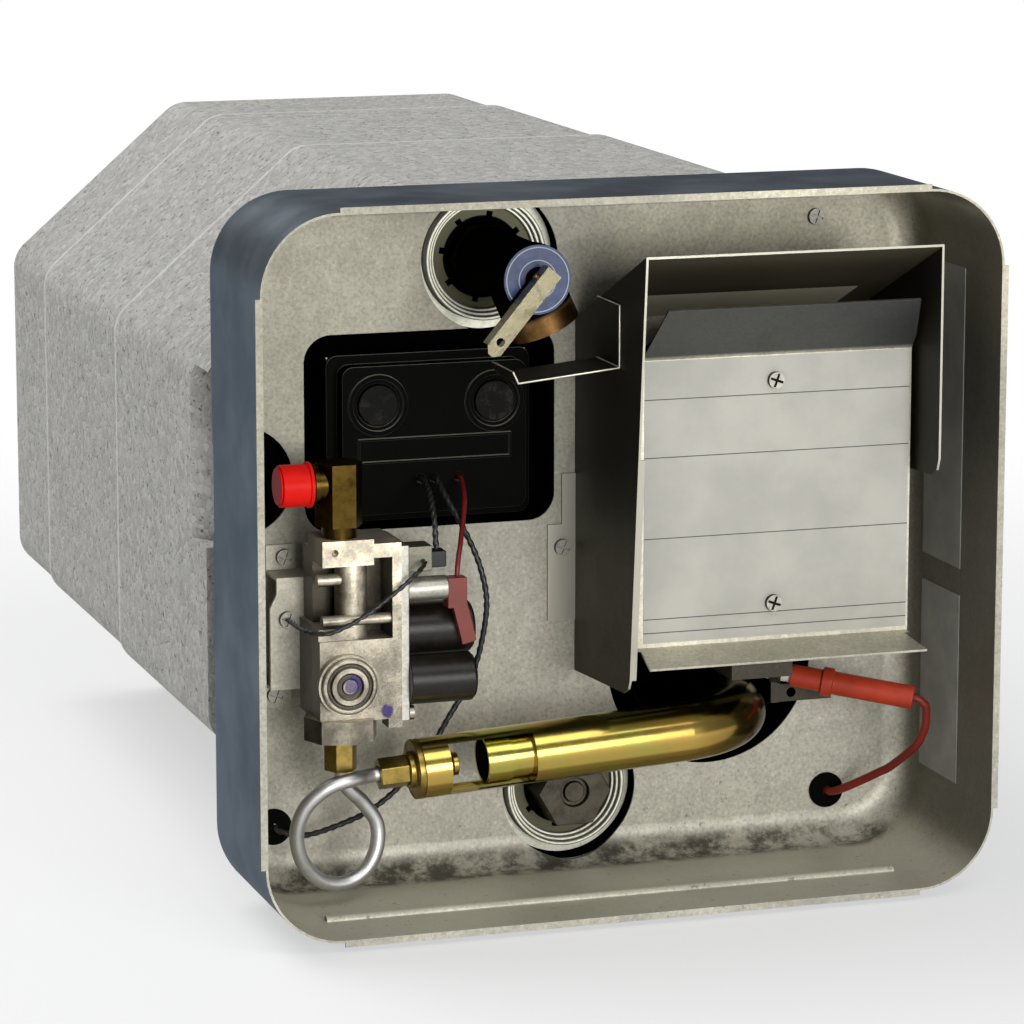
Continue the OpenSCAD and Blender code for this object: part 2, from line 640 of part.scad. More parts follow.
module deflector_screws() color([0.75, 0.75, 0.75]) for (at = plate_screw_at) screw(at, plate_d - 0.2, 6);
module panel_screws() color([0.7, 0.7, 0.7]) {
    for (i = [0, 1]) screw(pan_screw_at[i], panel_d - 1.5, 2.4);
    screw(pan_screw_at[2], panel_d, 0.9);
    screw(pan_screw_at[3], panel_d - box_t, 1.9);
}
module wall_label_upper() color([0.75, 0.75, 0.73])
    block(ring_w / 2 - sheet_t - 0.4, ring_w / 2 - sheet_t, 38, 79, 137, top_z - 40);
module wall_label_lower() color([0.75, 0.75, 0.73])
    block(ring_w / 2 - sheet_t - 0.4, ring_w / 2 - sheet_t, 38, 79, 40, 125);

// Gas valve
module by_valve() {
    translate([valve_x, 0, 0]) children();
}
module gas_valve() color([0.66, 0.65, 0.6]) by_valve() difference() {
    union() {
        block(-11.5, wall_x, 42, 74, 88, 123);
        block(-11.5, 4.5, 44, 74, 122, 128);
        ybar([0, plug_z], 13.2, 38, 43);
        zbar(5, valve_d, 122, 156, 7);
        block(-10, 12.5, 42, 66, 155, valve_top_z);
        block(11.5, wall_x, 42, 74, 158, 164);
        block(20.5, wall_x, 42, 74, 87, 164);
        block(-9.5, wall_x, 60, 74, 120, 160);
        xbar(-9.5, 21.5, 46, 131, 2.4);
        xbar(-10.5, 4.5, 50, 148, 2.6);
        zbar(0, valve_d, 79, 89, 16, 8);
        block(18.5, wall_x, 42, 52, 84, 88);
    }
    ybar([-4.5, 161], 1.5, 41, 48);
    ybar([0, plug_z], 6, 37, 41);
}
module valve_plug() color([0.75, 0.74, 0.68]) by_valve() {
    translate([0, fy(38), plug_z]) rotate([90, 0, 0]) rotate_extrude($fn = ROUND)
        polygon([[0, 0], [12.2, 0], [12.2, 1.4], [11, 2.2], [10.2, 2.2], [9.6, 1.2], [8.6, 1.2], [8, 2.6],
            [6, 2.6], [5.2, 1.4], [3.6, 1.4], [3.2, 2.4], [0, 2.4]]);
    ybar([0, plug_z], 5.9, 38, 41);
}
module valve_bracket() color([0.6, 0.6, 0.57]) difference() {
    by_valve() {
        front_sheet(74, 75.5,
            [[-24.5, 96], [16.5, 96], [16.5, 145], [-21.5, 145], [-21.5, 138], [-24.5, 132]]);
        block(-21.5, -5.5, 74, panel_d, 143.5, 145);
        block(-21.5, -5.5, panel_d - 1.5, panel_d, 143.5, 156);
        block(-24.5, -10.5, 74, panel_d, 96, 97.5);
        block(-24.5, -10.5, panel_d - 1.5, panel_d, 84, 97.5);
    }
    for (i = [0, 1]) ybar(pan_screw_at[i], screw_r + screw_gap, panel_d - 5, panel_d + cut);
    ybar(earth_at, screw_r + screw_gap, 70, 80);
}
module valve_screws() color([0.7, 0.7, 0.7]) {
    screw(earth_at, 74, 3);
    by_valve() difference() {
        xbar(yoke_x, yoke_x + 2.4, 47, 89, 3.2);
        block(yoke_x + 1.6, yoke_x + 4, 46.5, 47.5, 84, 94);
    }
}
module inlet_elbow() color([0.62, 0.48, 0.2]) by_valve() difference() {
    union() {
        zbar(0, valve_d, valve_top_z, valve_top_z + 5, 7.5);
        zbar(0, valve_d, valve_top_z + 5, 198, 10.4, 6);
        xbar(stub_x0 + 2.6, 0, valve_d, inlet_z, 7.2);
        xbar(stub_x0 + 0.6, stub_x0 + 2.6, valve_d, inlet_z, 8.6);
        xbar(stub_x0 - stub_len, stub_x0 + 0.6, valve_d, inlet_z, stub_r);
    }
    xbar(stub_x0 - stub_len - cut, 0, valve_d, inlet_z, 4.5);
}
module inlet_cap() color([0.85, 0.12, 0.1]) by_valve() {
    bore = stub_r + cap_gap;
    outer = bore + cap_wall;
    inside = stub_x0 - stub_len - 1.5;
    difference() {
        union() {
            xbar(inside - cap_end + 1, stub_x0, valve_d, inlet_z, outer);
            xbar(inside - cap_end, inside - cap_end + 1, valve_d, inlet_z, outer - 1);
            xbar(stub_x0 - 1.6, stub_x0, valve_d, inlet_z, outer + 0.8);
        }
        xbar(inside, stub_x0 + cut, valve_d, inlet_z, bore);
    }
}
module outlet_nut() color([0.7, 0.55, 0.25]) by_valve() difference() {
    zbar(0, valve_d, 65, 79, 7.3, 6);
    zbar(0, valve_d, 65 - cut, 74, gas_tube_r + 0.1);
}
gas_route = [[-116.5, 52, 73.5], [-116.5, 52, 66], [-114.5, 52.5, 58], [-106, 55, 49], [-99.5, 56, 39],
    [-100, 55, 28], [-106, 53, 19], [-116, 51, 15], [-127, 49, 18], [-135.5, 46, 28],
    [-138.5, 43, 41], [-135, 40, 53], [-126, 38, 61], [-116, 38.5, 63.6], [-109, 43, 63.2],
    [-105, 44.8, 63.2], [-101.5, 45, 63.4], [-97, 45, 63.7], [-93, 45, 63.9]];
module gas_tube() color([0.78, 0.78, 0.78]) tube_along(gas_route, gas_tube_r, 12, 4);

// Burner line, drawn along x from the air mouth and tilted with the burner
module on_burner() {
    translate([burner_at[0], fy(burner_at[1]), burner_at[2]]) rotate([0, -burner_tilt, 0]) children();
}
module bx(x0, x1, r, n = ROUND) {
    translate([x0, 0, 0]) rotate([0, 90, 0]) cylinder(r = r, h = x1 - x0, $fn = n);
}
module tube_nut() color([0.68, 0.52, 0.22]) on_burner() difference() {
    bx(-46.5, -34, 7, 6);
    bx(-47.5, -35, gas_tube_r + 0.3);
}
module orifice_holder() color([0.7, 0.54, 0.22]) on_burner() difference() {
    union() {
        bx(-34, -31.5, 8);
        bx(-31.5, -28.5, burner_r);
        bx(-28.5, -17, burner_r - burner_wall - 0.05);
    }
    bx(-35, -21, 2);
    bx(-22, -16, 3.2);
}
module orifice_jet() color([0.72, 0.58, 0.25]) on_burner() difference() {
    union() {
        bx(-21, -17, 3.1);
        bx(-17, -15.4, 5.4, 6);
        bx(-15.4, -14, 3.6);
        bx(-14, -11.5, 5);
    }
    bx(-22, -10, 0.7);
}
module burner_tube() color([0.72, 0.6, 0.2]) on_burner() {
    difference() {
        union() {
            bx(-28.5, burner_run, burner_r);
        }
        bx(-29.5, burner_run + cut, burner_r - burner_wall);
        for (s = [-1, 1]) translate([-17, s > 0 ? 0 : -burner_r - cut, -burner_r + 2.2])
            cube([38, burner_r + cut, 2 * burner_r - 4.4]);
    }
    translate([burner_run, burner_bend_r, 0]) rotate([0, 0, -90])
        rotate_extrude(angle = 90, $fn = ROUND) translate([burner_bend_r, 0]) difference() {
            circle(r = burner_r, $fn = ROUND);
            circle(r = burner_r - burner_wall, $fn = ROUND);
        }
    translate([burner_run + burner_bend_r, burner_bend_r, 0]) rotate([-90, 0, 0]) difference() {
        cylinder(r = burner_r, h = 70, $fn = ROUND);
        translate([0, 0, -cut]) cylinder(r = burner_r - burner_wall, h = 72, $fn = ROUND);
    }
}
module air_sleeve() color([0.75, 0.64, 0.25]) on_burner() difference() {
    union() {
        bx(0, 11, sleeve_r - 0.8);
        bx(11, 21, sleeve_r - 1.4);
        bx(21, 42, sleeve_r);
    }
    bx(-cut, 43, sleeve_r - 2.4);
}

// Solenoid and connectors
module coil_yoke() color([0.7, 0.7, 0.68]) by_valve() block(wall_x, yoke_x, 44, 78, 86, 162);
module coil_lower() color([0.08, 0.08, 0.08]) by_valve() {
    xbar(yoke_x, 57, 50, 102.5, 10.6);
    xbar(57, 58, 50, 102.5, 9.6);
}
module coil_upper() color([0.07, 0.07, 0.07]) by_valve() {
    xbar(yoke_x, 59.5, 62, 122, 11.4);
    xbar(59.5, 60.5, 62, 122, 10.4);
}
module coil_neck() color([0.72, 0.72, 0.7]) by_valve() xbar(yoke_x, 46.5, 50, 141.8, 5.2);
module connector_block() color([0.6, 0.6, 0.57]) by_valve() {
    block(yoke_x, 40.5, 50, 62, 149, 160);
    block(40.5, 47.5, 52, 60, 150, 157);
}
module terminal_boots() color([0.45, 0.08, 0.06]) by_valve() {
    block(46.5, 55, 46.5, 53.5, 133, 146);
    translate([51.5, fy(46.5), 136]) rotate([0, -14, 0]) translate([-3.2, 0, -19]) cube([6.4, 3.6, 20]);
}

// Electrode and its lead
boot_from = [96, 70, 87];
boot_to = [145, 45, 78.5];
module on_electrode() {
    v = boot_to - boot_from;
    yaw = atan2(v[1], v[0]);
    pitch = atan2(v[2], norm([v[0], v[1]]));
    translate([boot_from[0], fy(boot_from[1]), boot_from[2]])
        rotate([0, 0, yaw]) rotate([0, -pitch, 0]) children();
}
module electrode() color([0.9, 0.88, 0.82]) on_electrode() {
    bx(-16, 12, 3.4);
    bx(-36, -16, 1.1);
}
module electrode_boot() color([0.75, 0.2, 0.1]) on_electrode() difference() {
    union() {
        bx(0, 14, 5);
        bx(14, 19, 6.4);
        bx(19, 55, 5.2);
    }
    bx(-cut, 12.4, 3.5);
    bx(48, 56, lead_r + 0.1);
}
module electrode_bracket() color([0.75, 0.75, 0.72]) {
    on_electrode() difference() {
        bx(-9, -4, 4.6);
        bx(-10, -3, 3.5);
    }
    difference() {
        union() {
            block(88, 117, 74.5, 75.5, 74, 82);
            block(116, 117, 74.5, panel_d, 74, 82);
            block(116, 126, panel_d - 1, panel_d, 74, 82);
            block(88, 92, 73.5, 75.5, 74, 86);
        }
        on_electrode() bx(-16, 12, 4.5);
        ybar([98, 78], 2.2, 70, 80);
    }
}
lead_route = [[138.5, 48.3, 79.6], [142, 46.5, 79], [146, 44.6, 78.2], [148.3, 44.1, 76.4],
    [150, 44.2, 74], [151, 46.5, 66], [150.4, 49.3, 60], [148.5, 53, 54], [142.5, 65, 43],
    [138.6, 70.6, 38.9], [134.5, 76, 35], [127, 84, 29.2], [123.2, 88.5, 27.2], [122.5, 92, 27],
    [122.5, 97, 27], [122.5, 103, 27]];
module ignition_lead() color([0.6, 0.1, 0.07]) tube_along(lead_route, lead_r, 10, 3);

// Grommets and wires
module grommet(at, bore) {
    translate([at[0], fy(pan_depth), at[1]]) rotate([-90, 0, 0]) rotate_extrude($fn = ROUND)
        polygon([[bore, -3], [grommet_hole_r + 1.6, -3], [grommet_hole_r + 2, -2.4],
            [grommet_hole_r + 2, -sheet_t], [grommet_hole_r - 0.1, -sheet_t], [grommet_hole_r - 0.1, 0],
            [grommet_hole_r + 2, 0], [grommet_hole_r + 2, 2], [bore, 2]]);
}
module grommet_left() color([0.04, 0.04, 0.04]) grommet(grommet_left_at, wire_r + wire_gap);
module grommet_right() color([0.04, 0.04, 0.04]) grommet(grommet_right_at, lead_r + wire_gap);
main_route = [[-135.5, 103, 31], [-135.5, 97, 31], [-135.5, 92, 31], [-133.5, 87.5, 30], [-124, 82, 29],
    [-110, 76.5, 34], [-96, 73, 41], [-83, 71, 52], [-72, 70, 65], [-63, 69, 80],
    [-54, 67, 96], [-49.5, 64, 114], [-48, 62, 132], [-51, 63, 148], [-56, 68, 162],
    [-60.5, 78, 174], [-62, 87, 180.5], [-62, 91, 181], [-62, 94.6, 181]];
module wire_main() color([0.05, 0.05, 0.05]) tube_along(main_route, wire_r, 8, 4);
red_route = [[-51, 94.6, 181], [-51, 92.8, 181], [-51, 91, 181], [-51.2, 88.6, 180.7], [-51.5, 86, 180],
    [-52.5, 80.2, 177.5], [-54, 74, 174], [-55.9, 68.9, 170.2], [-58, 64, 166], [-60.1, 59.3, 162],
    [-62, 55, 158], [-63.5, 52.4, 154.6], [-64.5, 50.5, 151], [-64.9, 50, 148.6], [-65, 50, 146.2]];
module wire_red() color([0.35, 0.05, 0.05]) tube_along(red_route, thin_wire_r, 8, 2);
link_route = [[-72.5, 56, 157.2], [-72.5, 56.1, 159.6], [-72.5, 56.5, 162], [-72.3, 57.7, 166.3],
    [-72, 60, 170], [-71.4, 64.7, 174.2], [-70.5, 70, 177], [-69.7, 75.5, 179.1], [-69, 81, 180.4],
    [-68.5, 84.6, 180.9], [-68.2, 88, 181], [-68.1, 89.5, 181], [-68, 91, 181], [-68, 92.8, 181],
    [-68, 94.6, 181]];
module wire_link() color([0.05, 0.05, 0.05]) tube_along(link_route, wire_r, 8, 2);
ground_route = [[-80, 49.8, 153.5], [-80.1, 47.9, 153.5], [-80.5, 46, 153.3], [-84, 41.5, 151.5],
    [-90, 38.8, 147.5], [-97, 38.2, 142.5], [-106, 38.6, 136], [-111, 38.8, 133], [-116, 39, 130.4],
    [-124, 39.6, 127.4], [-129.5, 42.5, 127], [-132.3, 49, 127], [-133, 53.4, 127], [-133.4, 58, 127],
    [-133.5, 67, 127], [-133.5, 71.4, 127]];
module wire_ground() color([0.05, 0.05, 0.05]) tube_along(ground_route, thin_wire_r, 8, 3);

control_pan();
insulation_upper();
insulation_lower();
tank();
flue_tube();
cold_inlet();
hot_outlet();
anode_rod();
anode_collar();
relief_collar();
relief_body();
relief_stem();
lever_pin();
relief_lever();
relief_tag();
thermostat_clip();
thermostat_disc();
limit_disc();
reset_cover();
reset_button_left();
reset_button_right();
drip_shield();
flue_box();
deflector();
deflector_label();
deflector_bracket();
deflector_screws();
wall_label_upper();
wall_label_lower();
gas_valve();
valve_bracket();
valve_plug();
inlet_elbow();
inlet_cap();
outlet_nut();
gas_tube();
tube_nut();
orifice_holder();
orifice_jet();
burner_tube();
air_sleeve();
coil_yoke();
coil_lower();
coil_upper();
coil_neck();
connector_block();
terminal_boots();
electrode();
electrode_bracket();
electrode_boot();
ignition_lead();
grommet_left();
grommet_right();
wire_main();
wire_red();
wire_link();
wire_ground();
panel_screws();
valve_screws();
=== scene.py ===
"""Looks of the caravan water heater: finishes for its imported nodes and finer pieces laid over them."""

import json
import math

import bpy
from bpy.props import FloatProperty, FloatVectorProperty, PointerProperty
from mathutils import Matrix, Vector


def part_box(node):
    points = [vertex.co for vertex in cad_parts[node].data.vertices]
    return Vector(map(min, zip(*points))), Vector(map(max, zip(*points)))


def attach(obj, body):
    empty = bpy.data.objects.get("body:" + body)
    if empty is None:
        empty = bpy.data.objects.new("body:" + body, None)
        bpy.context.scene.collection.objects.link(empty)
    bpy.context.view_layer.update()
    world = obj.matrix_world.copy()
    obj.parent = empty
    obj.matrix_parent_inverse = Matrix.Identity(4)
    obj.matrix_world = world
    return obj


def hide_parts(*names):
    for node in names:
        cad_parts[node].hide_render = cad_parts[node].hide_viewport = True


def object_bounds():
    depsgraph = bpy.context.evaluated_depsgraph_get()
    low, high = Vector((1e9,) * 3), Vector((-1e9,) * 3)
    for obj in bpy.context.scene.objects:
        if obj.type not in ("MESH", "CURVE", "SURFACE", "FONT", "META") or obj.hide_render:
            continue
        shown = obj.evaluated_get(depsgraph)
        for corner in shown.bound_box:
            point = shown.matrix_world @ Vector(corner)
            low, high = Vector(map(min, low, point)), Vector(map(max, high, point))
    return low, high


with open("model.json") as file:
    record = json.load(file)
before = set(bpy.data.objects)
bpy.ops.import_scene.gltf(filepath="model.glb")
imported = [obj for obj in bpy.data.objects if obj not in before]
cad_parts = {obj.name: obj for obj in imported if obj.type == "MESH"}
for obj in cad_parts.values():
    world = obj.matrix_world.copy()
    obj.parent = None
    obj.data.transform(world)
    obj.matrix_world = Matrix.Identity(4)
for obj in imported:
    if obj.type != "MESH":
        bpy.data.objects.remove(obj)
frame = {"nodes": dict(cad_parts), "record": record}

bl_info = {
    "name": "Caravan Water Heater",
    "version": (1, 0, 0),
    "blender": (4, 5, 0),
    "location": "3D View > Sidebar > Heater",
    "description": "Dresses the packed heater with its finishes and finer pieces",
    "category": "Object",
}

CAD_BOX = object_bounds()
MM = 0.001
# the front rim lies this far ahead of the origin
FRONT = -round(CAD_BOX[0][1], 4)


def place(x, depth, z):
    """A point given as the part's source gives it: x, depth behind the front rim and height, in mm."""
    return Vector((x * MM, depth * MM - FRONT, z * MM))


# routes of the wires and of the gas tube, as in the part's source
MAIN_ROUTE = [(-135.5, 103, 31), (-135.5, 97, 31), (-135.5, 92, 31), (-133.5, 87.5, 30), (-124, 82, 29),
              (-110, 76.5, 34), (-96, 73, 41), (-83, 71, 52), (-72, 70, 65), (-63, 69, 80),
              (-54, 67, 96), (-49.5, 64, 114), (-48, 62, 132), (-51, 63, 148), (-56, 68, 162),
              (-60.5, 78, 174), (-62, 87, 180.5), (-62, 91, 181), (-62, 94.6, 181)]
RED_ROUTE = [(-51, 94.6, 181), (-51, 92.8, 181), (-51, 91, 181), (-51.2, 88.6, 180.7), (-51.5, 86, 180),
             (-52.5, 80.2, 177.5), (-54, 74, 174), (-55.9, 68.9, 170.2), (-58, 64, 166),
             (-60.1, 59.3, 162), (-62, 55, 158), (-63.5, 52.4, 154.6), (-64.5, 50.5, 151),
             (-64.9, 50, 148.6), (-65, 50, 146.2)]
LINK_ROUTE = [(-72.5, 56, 157.2), (-72.5, 56.1, 159.6), (-72.5, 56.5, 162), (-72.3, 57.7, 166.3),
              (-72, 60, 170), (-71.4, 64.7, 174.2), (-70.5, 70, 177), (-69.7, 75.5, 179.1),
              (-69, 81, 180.4), (-68.5, 84.6, 180.9), (-68.2, 88, 181), (-68.1, 89.5, 181),
              (-68, 91, 181), (-68, 92.8, 181), (-68, 94.6, 181)]
GROUND_ROUTE = [(-80, 49.8, 153.5), (-80.1, 47.9, 153.5), (-80.5, 46, 153.3), (-84, 41.5, 151.5),
                (-90, 38.8, 147.5), (-97, 38.2, 142.5), (-106, 38.6, 136), (-111, 38.8, 133),
                (-116, 39, 130.4), (-124, 39.6, 127.4), (-129.5, 42.5, 127), (-132.3, 49, 127),
                (-133, 53.4, 127), (-133.4, 58, 127), (-133.5, 67, 127), (-133.5, 71.4, 127)]
LEAD_ROUTE = [(138.5, 48.3, 79.6), (142, 46.5, 79), (146, 44.6, 78.2), (148.3, 44.1, 76.4),
              (150, 44.2, 74), (151, 46.5, 66), (150.4, 49.3, 60), (148.5, 53, 54), (142.5, 65, 43),
              (138.6, 70.6, 38.9), (134.5, 76, 35), (127, 84, 29.2), (123.2, 88.5, 27.2),
              (122.5, 92, 27), (122.5, 97, 27), (122.5, 103, 27)]
GAS_ROUTE = [(-116.5, 52, 73.5), (-116.5, 52, 66), (-114.5, 52.5, 58), (-106, 55, 49), (-99.5, 56, 39),
             (-100, 55, 28), (-106, 53, 19), (-116, 51, 15), (-127, 49, 18), (-135.5, 46, 28),
             (-138.5, 43, 41), (-135, 40, 53), (-126, 38, 61), (-116, 38.5, 63.6), (-109, 43, 63.2),
             (-105, 44.8, 63.2), (-101.5, 45, 63.4), (-97, 45, 63.7), (-93, 45, 63.9)]

# places that the finishes follow, in mm as in the part's source
RELIEF_AT = (-36.5, 275)
ANODE_AT = (0, 37.5)
GAS_HOLE_AT = (-149, 184)
PLUG_AT = (-116.5, 104.5)
INK_DAB_AT = (-98.5, 91.5)
INK_SMEAR_AT = (-115, 105.5)
# boxes as x, depth and height, in mm
FOAM_HOLLOW = ((-122, 116), (94, 150), (43, 262))
FOAM_RAMP = ((-170, -140), (93, 124), (156.5, 231.5))
TANK_SHADE = ((-130, 130), (90, 200), (20, 300))
# right end of the connector's metal, and fronts of the deflector's screws and of the valve, in metres
CONNECTOR_END = (PLUG_AT[0] + 40.5) * MM
PLATE_SCREW = place(0, 24.4, 0).y
VALVE_FACE = place(0, 42, 0).y
# right end and front edge of the strip of painted light in the flue box, in metres
FLUE_LIT_STRIP = (0.121, -0.1965)
# steps of the foam's sides
FOAM_STEPS = [place(0, depth, 0).y for depth in (263, 422)]
# a point on the burner's axis, and how it climbs to the right
BURNER_AT = place(-55.5, 45, 66.2)
BURNER_SLOPE = math.tan(math.radians(3.4))
# front tabs of the pan, its corner radius, back bend, depth and half its sheet, in metres
TAB = 0.002
PAN_RADIUS = 0.034
PAN_BEND = 0.014
PAN_DEPTH = 0.094
PAN_SKIN = 0.0005
# centre of the pan's outline, and of its rounded corners from there; the depth is left out of both
PAN_LOW, PAN_HIGH = (Vector(v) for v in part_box("control_pan"))
PAN_CENTRE = ((PAN_LOW.x + PAN_HIGH.x) / 2, 0, (PAN_LOW.z + PAN_HIGH.z) / 2)
OUT_OF_REACH = 10
PAN_CORNER = ((PAN_HIGH.x - PAN_LOW.x) / 2 - TAB - PAN_RADIUS, OUT_OF_REACH,
              (PAN_HIGH.z - PAN_LOW.z) / 2 - TAB - PAN_RADIUS)


def length_property(name, description, default):
    """A length that a user would change."""
    return FloatProperty(name=name, description=description, default=default, unit="LENGTH")


def colour_property(name, description, default):
    """A colour that a user would change."""
    return FloatVectorProperty(name=name, description=description, default=default,
                               size=3, subtype="COLOR")


class HeaterSizes(bpy.types.PropertyGroup):
    """Sizes a user would change."""

    wire_radius: length_property("Wire radius", "Radius of the main and link wires", 0.0014)
    thin_wire_radius: length_property("Thin wire radius", "Radius of the red and ground wires", 0.0011)
    lead_radius: length_property("Lead radius", "Radius of the ignition lead", 0.0019)
    gas_tube_radius: length_property("Gas tube radius", "Radius of the aluminium gas tube", 0.0032)
    edge_round: FloatProperty(name="Edge rounding", description="Share of each piece's own edge rounding",
                              default=1.0, min=0.1, max=1.5)
    bead_size: length_property("Foam bead", "Size of the foam's beads", 0.0036)


class HeaterColours(bpy.types.PropertyGroup):
    """Colours a user would change."""

    zinc: colour_property("Zinc sheet", "Galvanised sheet inside the pan", (0.42, 0.4, 0.325))
    pan_outside: colour_property("Pan outside", "Outer faces of the pan", (0.165, 0.184, 0.203))
    foam: colour_property("Foam", "Foam cladding", (0.45, 0.443, 0.418))
    casting: colour_property("Casting", "Die-cast gas valve", (0.4, 0.36, 0.285))
    brass: colour_property("Brass", "Brass fittings", (0.36, 0.258, 0.066))
    burner: colour_property("Burner", "Yellow passivated burner tube", (0.52, 0.42, 0.094))
    cap: colour_property("Inlet cap", "Protective cap on the gas inlet", (0.8, 0.012, 0.008))
    tag: colour_property("Tag", "Tag of the relief valve", (0.022, 0.042, 0.12))
    boot: colour_property("Boot", "Silicone boot of the electrode", (0.46, 0.042, 0.014))


class Finish:
    """A procedural material under construction, on object coordinates."""

    def __init__(self, name, colour=(0.5, 0.5, 0.5), metallic=0.0, roughness=0.5):
        self.material = bpy.data.materials.new(name)
        self.material.use_nodes = True
        self.tree = self.material.node_tree
        self.shader = self.tree.nodes["Principled BSDF"]
        self.shader.inputs["Base Color"].default_value = (*colour, 1)
        self.shader.inputs["Metallic"].default_value = metallic
        self.shader.inputs["Roughness"].default_value = roughness
        self.where = self.tree.nodes.new("ShaderNodeTexCoord").outputs["Object"]

    def put(self, socket, value):
        """Links a node's output to an input, or sets a constant on it."""
        if isinstance(value, bpy.types.NodeSocket):
            self.tree.links.new(value, socket)
        elif socket.type == "RGBA":
            socket.default_value = (*tuple(value)[:3], 1)
        else:
            socket.default_value = value

    def set(self, name, value):
        """Sets or links a shader input by its name."""
        self.put(self.shader.inputs[name], value)
        return self

    def base(self):
        """What feeds the base colour so far."""
        return self.shader.inputs["Base Color"].links[0].from_socket

    def noise(self, size, detail=3.0, rough=0.55):
        """Cloudy noise whose features are about size metres across."""
        n = self.tree.nodes.new("ShaderNodeTexNoise")
        n.inputs["Scale"].default_value = 1 / size
        n.inputs["Detail"].default_value = detail
        n.inputs["Roughness"].default_value = rough
        self.put(n.inputs["Vector"], self.where)
        return n.outputs["Fac"]

    def cells(self, size, feature="F1", output="Distance"):
        """Cell pattern with cells about size metres across."""
        n = self.tree.nodes.new("ShaderNodeTexVoronoi")
        n.feature = feature
        n.inputs["Scale"].default_value = 1 / size
        self.put(n.inputs["Vector"], self.where)
        return n.outputs[output]

    def grey(self, colour):
        """Brightness of a colour."""
        n = self.tree.nodes.new("ShaderNodeRGBToBW")
        self.put(n.inputs[0], colour)
        return n.outputs[0]

    def vector(self, kind, a, b=None):
        """One step of vector arithmetic; LENGTH gives a number."""
        n = self.tree.nodes.new("ShaderNodeVectorMath")
        n.operation = kind
        self.put(n.inputs[0], a)
        if b is not None:
            self.put(n.inputs[1], b)
        return n.outputs["Value" if kind == "LENGTH" else "Vector"]

    def math(self, kind, a, b=0.0):
        """One arithmetic step."""
        n = self.tree.nodes.new("ShaderNodeMath")
        n.operation = kind
        self.put(n.inputs[0], a)
        self.put(n.inputs[1], b)
        return n.outputs[0]

    def times(self, a, b):
        """Product of two values."""
        return self.math("MULTIPLY", a, b)

    def plus(self, a, b):
        """Sum of two values."""
        return self.math("ADD", a, b)

    def minus(self, a, b):
        """Difference of two values."""
        return self.math("SUBTRACT", a, b)

    def most(self, a, b):
        """The larger of two values."""
        return self.math("MAXIMUM", a, b)

    def hypot(self, a, b):
        """Distance given by two values at right angles."""
        return self.math("SQRT", self.plus(self.times(a, a), self.times(b, b)))

    def near(self, value, middle, reach):
        """1 where a value is within reach of the middle, 0 elsewhere."""
        n = self.math("COMPARE", value, middle).node
        n.inputs[2].default_value = reach
        return n.outputs[0]

    def axis(self, name):
        """One object coordinate, in metres."""
        n = self.tree.nodes.new("ShaderNodeSeparateXYZ")
        self.put(n.inputs[0], self.where)
        return n.outputs[name]

    def band(self, value, low, high):
        """0 below low, 1 above high, smooth between; the two may be swapped."""
        n = self.tree.nodes.new("ShaderNodeMapRange")
        n.interpolation_type = "SMOOTHSTEP"
        self.put(n.inputs["Value"], value)
        n.inputs["From Min"].default_value = min(low, high)
        n.inputs["From Max"].default_value = max(low, high)
        n.inputs["To Min"].default_value = 0.0 if low < high else 1.0
        n.inputs["To Max"].default_value = 1.0 if low < high else 0.0
        return n.outputs["Result"]

    def between(self, value, rise, fall):
        """1 between two limits, each given as the start and end of its band."""
        return self.times(self.band(value, *rise), self.band(value, *fall))

    def fade(self, axis, limits):
        """A band along an axis, between two places in metres."""
        return self.band(self.axis(axis), *limits)

    def spread(self, value, low, high):
        """Maps 0..1 to low..high."""
        n = self.tree.nodes.new("ShaderNodeMapRange")
        self.put(n.inputs["Value"], value)
        n.inputs["To Min"].default_value = low
        n.inputs["To Max"].default_value = high
        return n.outputs["Result"]

    def blend(self, share, a, b, kind="MIX"):
        """Mixes two colours."""
        n = self.tree.nodes.new("ShaderNodeMix")
        n.data_type = "RGBA"
        n.blend_type = kind
        self.put(n.inputs[0], share)
        self.put(n.inputs[6], a)
        self.put(n.inputs[7], b)
        return n.outputs[2]

    def within(self, limits, soft=0.6):
        """1 inside a box of (x0, x1), (depth0, depth1), (z0, z1) in mm, 0 outside, with soft sides."""
        share = 1.0
        for axis, (low, high) in zip("XYZ", limits):
            base = FRONT if axis == "Y" else 0.0
            rise = ((low - soft) * MM - base, low * MM - base)
            fall = ((high + soft) * MM - base, high * MM - base)
            share = self.times(share, self.between(self.axis(axis), rise, fall))
        return share

    def radius_from(self, x, z):
        """Distance in metres from a line along the depth at x and z in mm."""
        return self.hypot(self.minus(self.axis("X"), x * MM), self.minus(self.axis("Z"), z * MM))

    def facing(self, axis, low=0.6, high=0.9):
        """1 where the surface faces along an axis such as -Y, 0 where it doesn't."""
        n = self.tree.nodes.new("ShaderNodeSeparateXYZ")
        self.put(n.inputs[0], self.tree.nodes["Texture Coordinate"].outputs["Normal"])
        sign = -1.0 if axis[0] == "-" else 1.0
        return self.band(self.times(n.outputs[axis[-1]], sign), low, high)

    def bump(self, height, depth, strength):
        """Relief of depth metres from a height between 0 and 1."""
        n = self.tree.nodes.new("ShaderNodeBump")
        n.inputs["Strength"].default_value = strength
        n.inputs["Distance"].default_value = depth
        self.put(n.inputs["Height"], height)
        self.put(self.shader.inputs["Normal"], n.outputs["Normal"])
        return self


FINISHES = {}


def finish(maker):
    """The finish that a function makes, made once."""
    if maker not in FINISHES:
        FINISHES[maker] = maker()
    return FINISHES[maker]


def shade(colour, factor):
    """A colour made darker or lighter."""
    return tuple(min(1.0, c * factor) for c in colour)


def colours():
    """Colours set in the panel."""
    return bpy.context.scene.heater_colours


def sizes():
    """Sizes set in the panel."""
    return bpy.context.scene.heater_sizes
